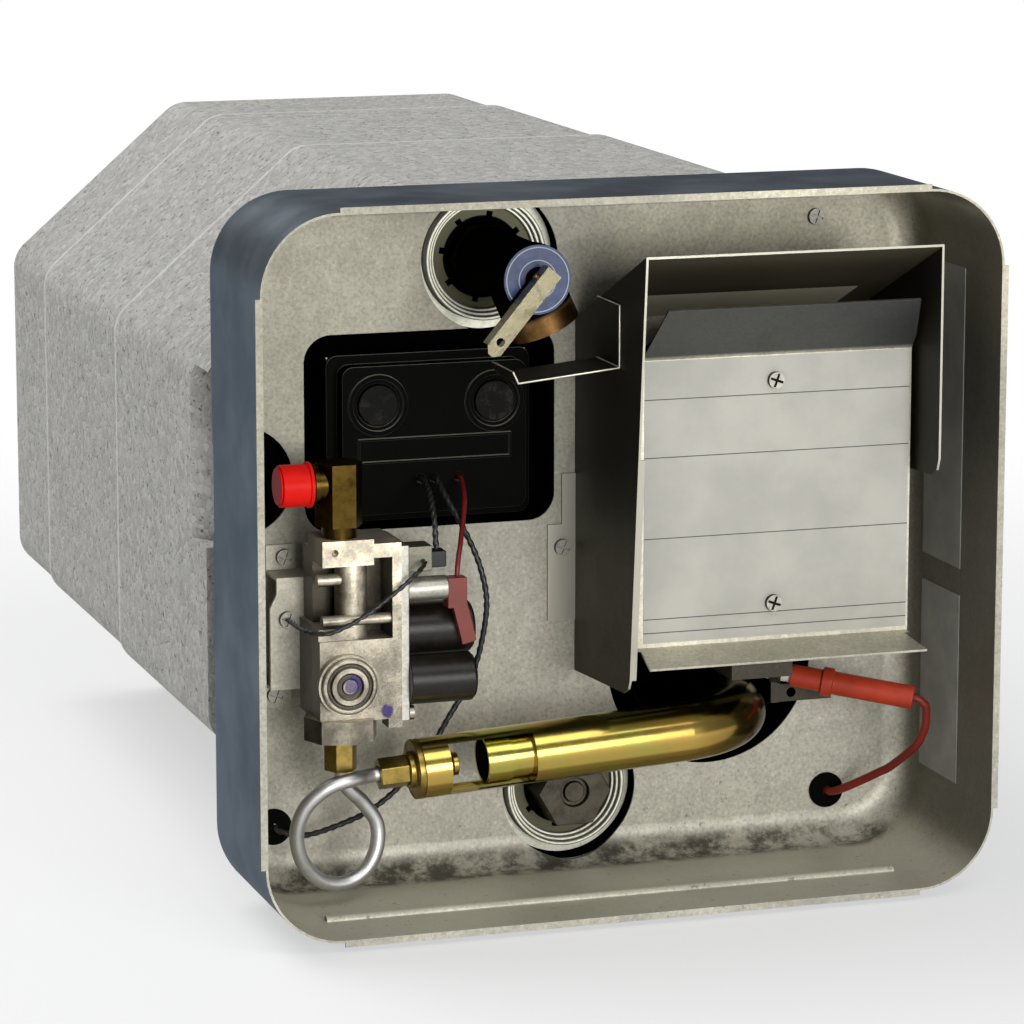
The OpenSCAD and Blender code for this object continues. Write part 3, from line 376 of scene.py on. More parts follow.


# colours of dirt and ink on the pieces, and of painted shade
GRIME = (0.07, 0.06, 0.04)
WALL_SHADE = (0.04, 0.035, 0.02)
FOLD_GRIME = (0.03, 0.025, 0.013)
SPECKS = (0.06, 0.05, 0.03)
CAST_SHADE = (0.022, 0.019, 0.012)
SLOT_SHADE = (0.012, 0.011, 0.008)
DUST = (0.22, 0.2, 0.17)
SHADE_BLACK = (0.002, 0.002, 0.002)
INK = (0.035, 0.022, 0.13)


def zinc_sheet(f, colour, grime, contrast=0.4):
    """Galvanised sheet: cloudy tone, faint spangle, fine grain and grime."""
    cloud = f.noise(0.07, 4, 0.6)
    spangle = f.grey(f.cells(0.006, output="Color"))
    grain = f.noise(0.0016, 3, 0.7)
    tone = f.blend(f.band(cloud, 0.3, 0.72), shade(colour, 0.82), shade(colour, 1.14))
    tone = f.blend(0.2, tone, f.blend(spangle, shade(colour, 0.55), shade(colour, 1.4)))
    tone = f.blend(f.times(f.band(grain, 0.45, 0.68), contrast), tone, shade(colour, 0.5))
    tone = f.blend(f.times(f.band(grain, 0.42, 0.3), contrast), tone, shade(colour, 1.5))
    dirt = f.times(f.band(f.noise(0.012, 6, 0.7), 0.56, 0.72), grime)
    tone = f.blend(dirt, tone, GRIME)
    rough = f.plus(f.spread(cloud, 0.34, 0.52), f.times(dirt, 0.3))
    f.set("Base Color", tone).set("Roughness", rough)
    f.bump(f.plus(f.times(grain, 0.5), cloud), 0.00025, 0.4)
    return f


def galvanised():
    f = Finish("galvanised_sheet", metallic=0.85)
    return zinc_sheet(f, colours().zinc, 0.25).material


PAN_METAL = 0.32
# where a wall counts as turned along an axis
WALL_TURN = (0.5, 0.95)
# fades over the pan in metres, each from where a look starts to where it is full
LIT_RIGHT, LIT_LOW, LIT_FOOT = (-0.1, 0.1), (0.2, 0.07), (0.075, 0.03)
BRIGHT_RIGHT, BRIGHT_TOP = (0.0, 0.04), (0.23, 0.26)
SHADE_LEFT, SHADE_TOP = (0.02, -0.06), (0.13, 0.22)
FOLD_LOW, FOLD_DEEP = (0.0145, 0.0085), (-0.184, -0.176)
SPECKS_LOW = (0.1, 0.01)
RIM_DEEP = (0.0004 - FRONT, 0.0007 - FRONT)


def pan_finish():
    """Pan sheet: yellowish inside with grime along the floor and painted light and shade, blue-grey
    outside.
    """
    f = Finish("pan_sheet", metallic=PAN_METAL)
    inside = colours().zinc
    zinc_sheet(f, inside, 0.12, 0.5)
    # painted shade: the walls that face left and down are darkened
    darkening = f.most(f.facing("-X", *WALL_TURN), f.facing("-Z", *WALL_TURN))
    tone = f.blend(f.times(darkening, 0.8), f.base(), WALL_SHADE)
    # painted light towards the panel's low right, along its foot and at its top right, and painted shade
    # at its upper left
    painted_light_low = f.most(f.times(f.fade("X", LIT_RIGHT), f.fade("Z", LIT_LOW)), f.fade("Z", LIT_FOOT))
    tone = f.blend(painted_light_low, tone, (1.25, 1.26, 1.28), "MULTIPLY")
    bright = f.times(f.fade("X", BRIGHT_RIGHT), f.fade("Z", BRIGHT_TOP))
    tone = f.blend(bright, tone, (1.4, 1.38, 1.3), "MULTIPLY")
    left = f.times(f.fade("X", SHADE_LEFT), f.fade("Z", SHADE_TOP))
    tone = f.blend(left, tone, (0.78, 0.77, 0.73), "MULTIPLY")
    # the floor, which faces up, is painted lighter than the rest: painted light
    tone = f.blend(f.times(f.facing("+Z", *WALL_TURN), 0.7), tone, shade(inside, 1.5))
    # grime gathers in the bend between panel and floor
    fold = f.times(f.fade("Z", FOLD_LOW), f.fade("Y", FOLD_DEEP))
    stain = f.times(fold, f.band(f.noise(0.012, 6, 0.75), 0.38, 0.6))
    tone = f.blend(f.times(stain, 0.85), tone, FOLD_GRIME)
    specks = f.times(f.band(f.noise(0.0035, 4, 0.7), 0.63, 0.7), f.fade("Z", SPECKS_LOW))
    tone = f.blend(f.times(specks, 0.6), tone, SPECKS)
    # distance from the rounded outline of the pan, and from the centre line of its back bend
    corner = f.vector("ABSOLUTE", f.vector("SUBTRACT", f.where, PAN_CENTRE))
    corner = f.vector("MAXIMUM", f.vector("SUBTRACT", corner, PAN_CORNER), (0, 0, 0))
    wide = f.most(f.minus(f.vector("LENGTH", corner), PAN_RADIUS - PAN_BEND), 0.0)
    back = f.most(f.minus(f.axis("Y"), PAN_DEPTH - PAN_BEND - FRONT), 0.0)
    skin = PAN_BEND - PAN_SKIN
    outer = f.times(f.band(f.hypot(wide, back), skin - 0.0002, skin + 0.0001), f.fade("Y", RIM_DEEP))
    outside = colours().pan_outside
    cloud = f.noise(0.05, 5, 0.6)
    cold = f.blend(f.band(cloud, 0.3, 0.7), shade(outside, 0.8), shade(outside, 1.25))
    f.set("Base Color", f.blend(outer, tone, cold))
    f.set("Roughness", f.spread(cloud, 0.34, 0.56))
    f.set("Metallic", f.spread(outer, PAN_METAL, 0.9))
    f.set("Specular Tint", f.blend(outer, (1, 1, 1), (0.3, 0.36, 0.42)))
    return f.material


FLUE_METAL = 0.8
# heights between which painted shade sets in, and softness of the painted light strip's edges, in metres
FLUE_SHADE = (0.13, 0.2)
STRIP_EDGE = 0.0008


def flue_finish():
    """Heat-stained sheet, with painted shade towards its top, a strip of painted light on its roof and a
    painted highlight on its front edges.
    """
    f = Finish("flue_sheet", metallic=FLUE_METAL)
    zinc_sheet(f, (0.085, 0.075, 0.055), 0.5)
    # painted shade, darker towards the top
    height = f.plus(f.axis("Z"), f.spread(f.noise(0.05, 4, 0.6), -0.02, 0.02))
    tone = f.blend(f.times(f.band(height, *FLUE_SHADE), 0.75), f.base(), (0.016, 0.014, 0.009))
    roof = f.facing("-Z", 0.4, 0.8)
    tone = f.blend(f.times(roof, 0.8), tone, (0.16, 0.14, 0.09))
    # a strip of painted light along the back of the roof
    end, front = FLUE_LIT_STRIP
    strip = f.times(f.fade("X", (end, end - STRIP_EDGE)), f.fade("Y", (front - STRIP_EDGE, front)))
    strip = f.times(strip, roof)
    tone = f.blend(strip, tone, (0.8, 0.75, 0.58))
    f.set("Metallic", f.spread(strip, FLUE_METAL, 0.1))
    # painted highlight on the faces that face forward, the sheet's front edges
    edge = f.facing("-Y")
    f.set("Base Color", f.blend(edge, tone, (0.5, 0.48, 0.4)))
    f.set("Roughness", f.spread(edge, 0.6, 0.35))
    return f.material


def sooty_sheet():
    f = Finish("sooty_sheet", metallic=0.8)
    return zinc_sheet(f, (0.06, 0.053, 0.038), 0.5).material


def connector_finish():
    """Dull metal block with a black plug at its right end."""
    metal = 0.8
    f = Finish("connector", metallic=metal)
    zinc_sheet(f, (0.2, 0.19, 0.145), 0.3)
    plug = f.fade("X", (CONNECTOR_END - 0.0002, CONNECTOR_END + 0.0002))
    f.set("Base Color", f.blend(plug, f.base(), (0.006, 0.006, 0.006)))
    f.set("Metallic", f.spread(plug, metal, 0.0))
    return f.material


# heights between which the deflector turns into its top flange, in metres
FLANGE_TOP = (0.2385, 0.2405)


def deflector_finish():
    """Deflector sheet with a darker, bluish top flange."""
    f = Finish("deflector_sheet", metallic=0.75)
    # the sheet is a lighter copy of the zinc: painted light for its lower flange, which faces up and
    # forward
    zinc_sheet(f, shade(colours().zinc, 1.45), 0.15)
    top = f.times(f.fade("Z", FLANGE_TOP), 0.9)
    f.set("Base Color", f.blend(top, f.base(), (0.055, 0.06, 0.062)))
    return f.material


COLLAR_METAL = 0.6
# radii of the collars' rolled rings, half the width of the grooves there, and radius of the throat
COLLAR_RINGS = (0.0225, 0.024, 0.0256, 0.0272)
COLLAR_GROOVE = 0.00038
COLLAR_THROAT = 0.0178
COLLAR_SOFT = 0.0004


def collar_finish():
    """Port collar with bright rolled rings, painted shade in the grooves between them, an olive seat, and
    a throat painted black for shade.
    """
    f = Finish("collar_sheet", metallic=COLLAR_METAL)
    zinc_sheet(f, (0.9, 0.87, 0.7), 0.2)
    far = f.math("MINIMUM", f.radius_from(*RELIEF_AT), f.radius_from(*ANODE_AT))
    tone = f.base()
    # painted shade in the grooves between the rings
    for ring in COLLAR_RINGS:
        groove = f.near(far, ring, COLLAR_GROOVE)
        tone = f.blend(f.times(groove, 0.9), tone, (0.02, 0.018, 0.012))
    seat = f.band(far, COLLAR_RINGS[0], COLLAR_RINGS[0] - COLLAR_SOFT)
    tone = f.blend(seat, tone, (0.1, 0.095, 0.055))
    # the throat is painted black for the shade inside it
    throat = f.band(far, COLLAR_THROAT + COLLAR_SOFT, COLLAR_THROAT)
    f.set("Base Color", f.blend(throat, tone, (0.003, 0.003, 0.002)))
    f.set("Metallic", f.spread(throat, COLLAR_METAL, 0.0))
    f.set("Specular IOR Level", f.spread(throat, 0.5, 0.05))
    return f.material


def bright_steel():
    f = Finish("bright_steel", metallic=0.95)
    return zinc_sheet(f, (0.5, 0.485, 0.42), 0.35).material


# start and end of the painted shade behind the front of the deflector's screws, in metres
SLOT_DEPTHS = ((0.0004, 0.0006), (0.005, 0.004))


def screw_steel():
    """Screws with painted shade round their heads and in the slots of the deflector's screws."""
    f = Finish("screw_steel", metallic=0.95)
    zinc_sheet(f, (0.42, 0.405, 0.35), 0.5)
    slot = f.between(f.minus(f.axis("Y"), PLATE_SCREW), *SLOT_DEPTHS)
    # painted shade on the faces that don't face forward, round the heads
    dark = f.most(slot, f.facing("-Y", 0.75, 0.45))
    f.set("Base Color", f.blend(dark, f.base(), SLOT_SHADE))
    return f.material


def tank_steel():
    """Plain steel, painted black for shade where it shows through the openings of the panel."""
    metal = 0.9
    f = Finish("tank_steel", metallic=metal)
    zinc_sheet(f, (0.2, 0.2, 0.21), 0.3)
    # painted shade: black where the tank shows through the panel's openings
    shade_inside = f.within(TANK_SHADE)
    f.set("Base Color", f.blend(shade_inside, f.base(), SHADE_BLACK))
    f.set("Metallic", f.spread(shade_inside, metal, 0.0))
    f.set("Specular IOR Level", f.spread(shade_inside, 0.5, 0.0))
    return f.material


# start and end of the painted highlight on the crest and of the painted shade at the foot of a step of
# the foam, in metres behind it
STEP_CREST = ((-0.005, -0.003), (0.0, -0.0015))
STEP_FOOT = ((-0.0005, 0.0005), (0.005, 0.0))
# edges of the foam's openings, painted black for shade, in metres, across and along the depth, and of the
# painted shade beside one
PORT_WIDE, PORT_DEEP = (0.0325, 0.0322), (-0.105, -0.106)
GAS_WIDE, GAS_DEEP = (0.0246, 0.0242), (-0.148, -0.1485)
RAMP_DEEP = (-0.132, -0.16)


def foam_finish():
    """Moulded foam: packed beads with dark specks and soil, a painted highlight and painted shade at its
    steps, painted shade beside the gas hole, and openings painted black for shade.
    """
    f = Finish("foam_beads", roughness=0.9)
    base = colours().foam
    bead = sizes().bead_size
    edge = f.cells(bead, feature="DISTANCE_TO_EDGE")
    each = f.grey(f.cells(bead, output="Color"))
    tone = f.blend(each, shade(base, 0.78), shade(base, 1.2))
    tone = f.blend(f.times(f.band(edge, 0.1, 0.0), 0.4), tone, shade(base, 0.62))
    speck = f.band(f.noise(0.0028, 3, 0.65), 0.6, 0.67)
    tone = f.blend(f.times(speck, 0.8), tone, shade(base, 0.22))
    soil = f.band(f.noise(0.11, 5, 0.6), 0.5, 0.75)
    tone = f.blend(f.times(soil, 0.22), tone, (0.3, 0.29, 0.25))
    deep = f.axis("Y")
    # a painted highlight on the crest of each step and painted shade at its foot
    for step in FOAM_STEPS:
        behind = f.minus(deep, step)
        crest = f.times(f.between(behind, *STEP_CREST), 0.55)
        tone = f.blend(crest, tone, shade(base, 1.55))
        foot = f.times(f.between(behind, *STEP_FOOT), 0.5)
        tone = f.blend(foot, tone, shade(base, 0.5))
    # painted shade beside the gas hole, darker towards the pan
    ramp = f.times(f.within(FOAM_RAMP), f.band(deep, *RAMP_DEEP))
    tone = f.blend(f.times(ramp, 0.8), tone, (0.05, 0.043, 0.035))
    # the openings are painted black for the shade in them
    ports = f.math("MINIMUM", f.radius_from(*RELIEF_AT), f.radius_from(*ANODE_AT))
    port = f.times(f.band(ports, *PORT_WIDE), f.band(deep, *PORT_DEEP))
    gas = f.times(f.band(f.radius_from(*GAS_HOLE_AT), *GAS_WIDE), f.band(deep, *GAS_DEEP))
    hollow = f.most(f.within(FOAM_HOLLOW), f.most(port, gas))
    f.set("Base Color", f.blend(hollow, tone, SHADE_BLACK))
    f.set("Specular IOR Level", f.spread(hollow, 0.4, 0.0))
    f.bump(f.plus(f.band(edge, 0.0, 0.25), f.times(speck, -1.2)), 0.00035, 0.6)
    return f.material


# where a face of a casting counts as turned along an axis
CAST_TURN = (0.4, 0.9)
# depths between which the valve's painted shade sets in and heights between which it is painted lighter,
# in metres
CAST_DEEP = (VALVE_FACE + 0.007, VALVE_FACE + 0.014)
CAST_TOP = (0.125, 0.157)


def cast_metal(name):
    """Die-cast metal, bright in front, with painted shade on its left and lower faces and deeper in, and
    painted light on its upward faces and towards its top.
    """
    f = Finish(name, metallic=0.8)
    base = colours().casting
    cloud = f.noise(0.012, 5, 0.65)
    grain = f.noise(0.0009, 3, 0.7)
    tone = f.blend(f.band(cloud, 0.35, 0.68), shade(base, 0.6), shade(base, 1.5))
    tone = f.blend(f.times(f.band(grain, 0.52, 0.68), 0.5), tone, shade(base, 0.35))
    # painted shade deeper in and on the faces turned left and down
    grime = f.times(f.fade("Y", CAST_DEEP), 0.93)
    grime = f.most(grime, f.times(f.facing("-X", *CAST_TURN), 0.75))
    grime = f.most(grime, f.times(f.facing("-Z", *CAST_TURN), 0.85))
    tone = f.blend(grime, tone, CAST_SHADE)
    # painted light on the faces turned up
    tone = f.blend(f.times(f.facing("+Z", *CAST_TURN), 0.6), tone, shade(base, 1.7))
    # painted light towards the top and painted shade below it
    plain = f.blend(1.0, tone, (0.85, 0.85, 0.83), "MULTIPLY")
    lit_top = f.blend(1.0, tone, (1.7, 1.68, 1.62), "MULTIPLY")
    tone = f.blend(f.fade("Z", CAST_TOP), plain, lit_top)
    f.set("Base Color", tone).set("Roughness", f.spread(cloud, 0.26, 0.48))
    f.bump(grain, 0.00025, 0.5)
    return f


def cast_aluminium():
    """Valve casting with a dab of inspection ink."""
    f = cast_metal("cast_aluminium")
    far = f.plus(f.radius_from(*INK_DAB_AT), f.spread(f.noise(0.004, 4, 0.7), -0.0018, 0.0018))
    dab = f.times(f.band(far, 0.0032, 0.0022), f.facing("-Y"))
    f.set("Base Color", f.blend(f.times(dab, 0.9), f.base(), INK))
    return f.material


# start and end of the plug's outer and inner grooves, as radii in metres
OUTER_GROOVE = ((0.0082, 0.0086), (0.0099, 0.0095))
INNER_GROOVE = ((0.0032, 0.0036), (0.0054, 0.005))


def plug_finish():
    """Turned plug with painted shade in its grooves, a bright centre and a smear of inspection ink."""
    f = cast_metal("plug_aluminium")
    far = f.radius_from(*PLUG_AT)
    groove = f.most(f.between(far, *OUTER_GROOVE), f.between(far, *INNER_GROOVE))
    tone = f.blend(f.times(groove, 0.85), f.base(), (0.03, 0.026, 0.02))
    smear = f.plus(f.radius_from(*INK_SMEAR_AT), f.spread(f.noise(0.005, 4, 0.7), -0.003, 0.003))
    tone = f.blend(f.times(f.band(smear, 0.005, 0.003), 0.75), tone, INK)
    f.set("Base Color", tone)
    return f.material


def turned(name, base, low, high, darkening):
    """Turned metal, its roughness between low and high, tarnished in cloudy patches."""
    f = Finish(name, metallic=1.0)
    cloud = f.noise(0.009, 5, 0.65)
    grain = f.noise(0.0011, 3, 0.7)
    tone = f.blend(f.band(cloud, 0.4, 0.75), base, shade(base, darkening))
    tone = f.blend(f.times(f.band(grain, 0.56, 0.7), 0.3), tone, shade(base, darkening * 0.6))
    f.set("Base Color", tone).set("Roughness", f.spread(cloud, low, high))
    f.bump(grain, 0.0001, 0.35)
    return f


def brass():
    return turned("brass", colours().brass, 0.2, 0.42, 0.5).material


def dark_brass():
    return turned("dark_brass", (0.068, 0.042, 0.009), 0.22, 0.42, 0.35).material


# direction of the relief outlet as x and z, and distances along it between which the barrel's black ends
OUTLET_WAY = (0.41, -0.91)
BARREL_END = (0.019, 0.0165)


def relief_brass():
    """Cast brass, painted black on the barrel for its shade and its oxide, bare at the outlet."""
    f = turned("relief_brass", (0.18, 0.094, 0.032), 0.26, 0.5, 0.5)
    across = f.times(f.minus(f.axis("X"), RELIEF_AT[0] * MM), OUTLET_WAY[0])
    down = f.times(f.minus(f.axis("Z"), RELIEF_AT[1] * MM), OUTLET_WAY[1])
    # the barrel is painted black for its shade and its oxide
    black = f.band(f.plus(across, down), *BARREL_END)
    f.set("Base Color", f.blend(black, f.base(), (0.003, 0.0022, 0.0015)))
    f.set("Specular IOR Level", f.spread(black, 0.5, 0.0))
    f.set("Metallic", f.spread(black, 1.0, 0.0))
    return f.material


def pin_copper():
    return turned("pin_copper", (0.6, 0.28, 0.14), 0.25, 0.4, 0.6).material


def lever_metal():
    return turned("lever_plating", (0.2, 0.18, 0.115), 0.18, 0.36, 0.4).material


def anode_metal():
    return turned("anode_metal", (0.095, 0.085, 0.065), 0.35, 0.6, 0.5).material


def tube_aluminium():
    return turned("drawn_aluminium", (0.66, 0.66, 0.65), 0.34, 0.5, 0.8).material


# painted highlight on the rounded edges of the sheet pieces
def sheet_edge_highlight():
    return turned("sheet_edge_highlight", (0.72, 0.69, 0.58), 0.25, 0.4, 0.6).material


# places in metres between which the burner's heat stain grows, its bore ends, and its straight run ends
BURNER_HEAT = (0.035, 0.075)
BURNER_BORE = (0.0097, 0.0094)
BURNER_STRAIGHT = (0.02, 0.0)


def burner_finish():
    """Yellow passivated steel with a faint shift towards green and rose, and painted shade inside its
    bore.
    """
    f = Finish("yellow_passivated", metallic=1.0)
    base = colours().burner
    drift = f.noise(0.03, 3, 0.5)
    cloud = f.noise(0.008, 5, 0.65)
    green = (base[0] * 0.86, base[1], base[2])
    rose = (base[0] * 1.1, base[1] * 0.9, base[2])
    tone = f.blend(f.band(drift, 0.35, 0.68), green, rose)
    tone = f.blend(f.times(f.band(cloud, 0.55, 0.8), 0.5), tone, shade(base, 0.4))
    # heat stain towards the bend
    heat = f.plus(f.axis("X"), f.spread(drift, -0.012, 0.012))
    tone = f.blend(f.times(f.band(heat, *BURNER_HEAT), 0.85), tone, (0.07, 0.036, 0.01))
    # distance from the burner's tilted axis, on its straight run
    climb = f.times(f.minus(f.axis("X"), BURNER_AT.x), BURNER_SLOPE)
    rise = f.minus(f.axis("Z"), f.plus(climb, BURNER_AT.z))
    off = f.hypot(rise, f.minus(f.axis("Y"), BURNER_AT.y))
    # painted shade inside the bore of the straight run
    shade_inside = f.times(f.band(off, *BURNER_BORE), f.fade("X", BURNER_STRAIGHT))
    f.set("Base Color", f.blend(shade_inside, tone, (0.01, 0.008, 0.005)))
    f.set("Roughness", f.plus(f.spread(cloud, 0.12, 0.26), f.times(shade_inside, 0.5)))
    f.bump(cloud, 0.0001, 0.25)
    return f.material


def moulded(name, base, low, high, dust=0.0, gloss=0.5):
    """Moulded plastic or rubber, its roughness between low and high, with a fine grain and some dust."""
    f = Finish(name)
    cloud = f.noise(0.02, 4, 0.6)
    grain = f.noise(0.0008, 2, 0.6)
    tone = f.blend(f.band(cloud, 0.3, 0.75), shade(base, 0.8), shade(base, 1.15))
    dusty = f.times(f.band(f.noise(0.006, 6, 0.75), 0.5, 0.75), dust)
    tone = f.blend(dusty, tone, DUST)
    f.set("Base Color", tone).set("Roughness", f.spread(cloud, low, high))
    f.set("Specular IOR Level", gloss)
    f.bump(grain, 0.00012, 0.4)
    return f.material


def black_rubber():
    return moulded("black_rubber", (0.003, 0.003, 0.0025), 0.3, 0.5, gloss=0.015)


def button_rubber():
    return moulded("button_rubber", (0.005, 0.005, 0.0035), 0.3, 0.5, 0.14, gloss=0.05)


def cover_edge_highlight():
    """Rounded edges of the cover, with a painted highlight where they face up."""
    f = Finish("cover_edge_highlight", roughness=0.35)
    dust = f.times(f.facing("+Z", 0.2, 0.6), f.spread(f.noise(0.006, 4, 0.6), 0.5, 1.0))
    f.set("Base Color", f.blend(dust, (0.016, 0.016, 0.013), (0.3, 0.29, 0.22)))
    f.set("Specular IOR Level", 0.2)
    return f.material


def black_plastic():
    return moulded("coil_black", (0.01, 0.0075, 0.005), 0.26, 0.4, 0.08, gloss=0.35)


def cap_red():
    return moulded("cap_red", colours().cap, 0.3, 0.45, gloss=0.08)


# radius and half width of the tag's outer and inner rings, in metres
TAG_OUTER = (0.0136, 0.00022)
TAG_INNER = (0.0082, 0.0002)


def tag_blue():
    """Blue tag with plain pale rings."""
    f = Finish("tag_blue", roughness=0.35)
    far = f.radius_from(*RELIEF_AT)
    rings = f.most(f.near(far, *TAG_OUTER), f.near(far, *TAG_INNER))
    cloud = f.noise(0.004, 4, 0.6)
    tone = f.blend(f.band(cloud, 0.35, 0.7), shade(colours().tag, 0.8), shade(colours().tag, 1.5))
    f.set("Base Color", f.blend(rings, tone, (0.36, 0.4, 0.46)))
    return f.material


def boot_orange():
    return moulded("silicone_boot", colours().boot, 0.35, 0.5, gloss=0.35)


def boot_dark():
    return moulded("terminal_boot", (0.2, 0.025, 0.015), 0.3, 0.5, 0.05)


def lead_red():
    return moulded("lead_red", (0.2, 0.018, 0.01), 0.35, 0.5, gloss=0.35)


def wire_black():
    return moulded("wire_black", (0.02, 0.02, 0.02), 0.28, 0.42, 0.12)


def wire_red():
    return moulded("wire_red", (0.16, 0.012, 0.012), 0.3, 0.45, 0.05)


def white_ceramic():
    return moulded("ceramic", (0.75, 0.72, 0.64), 0.4, 0.6, 0.15)


# heights of the label's rules and half their width, in metres
RULES_Z = (0.2215, 0.1965, 0.1615, 0.1265, 0.1205)
RULE_HALF = 0.00022


def pale_label():
    """Bare printed film with plain thin divider rules."""
    f = Finish("label_film", roughness=0.42)
    base = (0.46, 0.447, 0.39)
    high = f.axis("Z")
    rule = 0.0
    for z in RULES_Z:
        rule = f.most(rule, f.near(high, z, RULE_HALF))
    cloud = f.noise(0.03, 4, 0.6)
    tone = f.blend(f.band(cloud, 0.3, 0.7), shade(base, 0.9), shade(base, 1.08))
    spot = f.band(f.noise(0.004, 6, 0.75), 0.64, 0.74)
    tone = f.blend(f.times(spot, 0.3), tone, (0.25, 0.22, 0.16))
    f.set("Base Color", f.blend(rule, tone, (0.06, 0.06, 0.05)))
    f.bump(f.noise(0.02, 2), 0.0002, 0.3)
    return f.material


# the pan's wall labels are pale film, painted grey for the shade on the pan's right wall
def shaded_wall_label():
    return moulded("wall_film", (0.3, 0.3, 0.27), 0.35, 0.5, 0.2)


# each node's finish
NODE_FINISH = {
    "control_pan": pan_finish, "insulation_upper": foam_finish, "insulation_lower": foam_finish,
    "tank": tank_steel, "flue_tube": tank_steel, "cold_inlet": tank_steel, "hot_outlet": tank_steel,
    "anode_rod": anode_metal, "anode_collar": collar_finish, "relief_collar": collar_finish,
    "relief_body": relief_brass, "relief_stem": bright_steel, "lever_pin": pin_copper,
    "relief_lever": lever_metal, "relief_tag": tag_blue, "thermostat_clip": bright_steel,
    "thermostat_disc": black_plastic, "limit_disc": black_plastic, "reset_cover": black_rubber,
    "reset_button_left": button_rubber, "reset_button_right": button_rubber, "drip_shield": flue_finish,
    "flue_box": flue_finish, "deflector": deflector_finish, "deflector_label": pale_label,
    "deflector_bracket": sooty_sheet, "deflector_screws": screw_steel, "wall_label_upper": shaded_wall_label,
    "wall_label_lower": shaded_wall_label, "gas_valve": cast_aluminium, "valve_bracket": galvanised,
    "valve_plug": plug_finish, "inlet_elbow": dark_brass, "inlet_cap": cap_red, "outlet_nut": brass,
    "gas_tube": tube_aluminium, "tube_nut": brass, "orifice_holder": brass, "orifice_jet": brass,
    "burner_tube": burner_finish, "air_sleeve": burner_finish, "coil_yoke": bright_steel,
    "coil_lower": black_plastic, "coil_upper": black_plastic, "coil_neck": bright_steel,
    "connector_block": connector_finish, "terminal_boots": boot_dark, "electrode": white_ceramic,
    "electrode_bracket": sooty_sheet, "electrode_boot": boot_orange, "ignition_lead": lead_red,
    "grommet_left": black_rubber, "grommet_right": black_rubber, "wire_main": wire_black,
    "wire_red": wire_red, "wire_link": wire_black, "wire_ground": wire_black,
    "panel_screws": screw_steel, "valve_screws": screw_steel,
}


def dress(piece, node):
    """Gives a piece the finish of a node all over."""
    piece.data.materials.clear()
    piece.data.materials.append(finish(NODE_FINISH[node]))


def body_of(name):
    """The body that carries a node."""
    for body, nodes in frame["record"]["behaviour"]["bodies"].items():
        if name in nodes:
            return body
    raise KeyError(name)


def stand_in(piece, name):
    """Lets a piece take a node's place on the node's body, and hides the node."""
    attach(piece, body_of(name))
    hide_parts(name)


def smooth_line(points, steps):
    """Points of a smooth curve through given points, as the part's source draws it."""
    p = [place(*q) for q in points]
    first = 2 * p[0] - p[1]
    last = 2 * p[-1] - p[-2]
    p = [first, *p, last]
    line = []
    for i in range(1, len(p) - 2):
        a, b, c, d = p[i - 1:i + 3]
        for j in range(steps):
            t = j / steps
            line.append(0.5 * (2 * b + (c - a) * t + (2 * a - 5 * b + 4 * c - d) * t ** 2
                               + (3 * b - a - 3 * c + d) * t ** 3))
    line.append(p[-2])
    return line


# a direction that no route starts along
FIRST_SIDE = Vector((0.31, 0.55, 0.77))
# twisted wires: strands, length of one turn, and depth between strands as a share of the radius
STRANDS = 2
TWIST_PITCH = 0.008
TWIST_WAIST = 0.3


def tube_mesh(name, line, radius, sides, strands=0):
    """Closed tube along a line. With strands it looks like wires twisted together."""
    verts = []
    side = FIRST_SIDE
    run = 0.0
    for i, point in enumerate(line):
        ahead = (line[min(i + 1, len(line) - 1)] - line[max(i - 1, 0)]).normalized()
        side = (side - ahead * side.dot(ahead)).normalized()
        up = ahead.cross(side)
        if i:
            run += (point - line[i - 1]).length
        twist = 2 * math.pi * run / TWIST_PITCH
        for k in range(sides):
            angle = 2 * math.pi * k / sides
            r = radius
            if strands:
                r = radius * (1 - TWIST_WAIST * (0.5 - 0.5 * math.cos(strands * (angle - twist))))
            verts.append(point + side * (r * math.cos(angle)) + up * (r * math.sin(angle)))
    faces = []
    last = (len(line) - 1) * sides
    for start in range(0, last, sides):
        for k in range(sides):
            after = (k + 1) % sides
            faces.append([start + k, start + after, start + sides + after, start + sides + k])
    faces.append(list(range(sides))[::-1])
    faces.append([last + k for k in range(sides)])
    mesh = bpy.data.meshes.new(name)
    mesh.from_pydata(verts, [], faces)
    for face in mesh.polygons:
        face.use_smooth = len(face.vertices) == 4
    piece = bpy.data.objects.new(name, mesh)
    bpy.context.scene.collection.objects.link(piece)
    return piece


class HEATER_OT_finishes(bpy.types.Operator):
    """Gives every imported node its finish"""

    bl_idname = "heater.finishes"
    bl_label = "Finishes"

    def execute(self, context):
        for name, node in frame["nodes"].items():
            dress(node, name)
        return {"FINISHED"}


# nodes whose sharp edges are rounded, with the rounding in mm
SOFT_EDGES = {
    "gas_valve": 0.6, "valve_plug": 0.2, "reset_cover": 0.8, "reset_button_left": 0.6,
    "reset_button_right": 0.6, "inlet_elbow": 0.5, "inlet_cap": 0.5, "outlet_nut": 0.4, "tube_nut": 0.4,
    "orifice_holder": 0.5, "orifice_jet": 0.3, "coil_yoke": 0.4, "coil_lower": 0.8, "coil_upper": 0.8,
    "coil_neck": 0.5, "connector_block": 0.5, "terminal_boots": 0.9, "relief_body": 0.5,
    "relief_lever": 0.25, "anode_rod": 0.6, "electrode_boot": 0.6, "deflector_screws": 0.3,
    "panel_screws": 0.3, "valve_screws": 0.3, "flue_box": 0.4, "deflector": 0.22, "drip_shield": 0.4,
    "valve_bracket": 0.3, "electrode_bracket": 0.25,
}
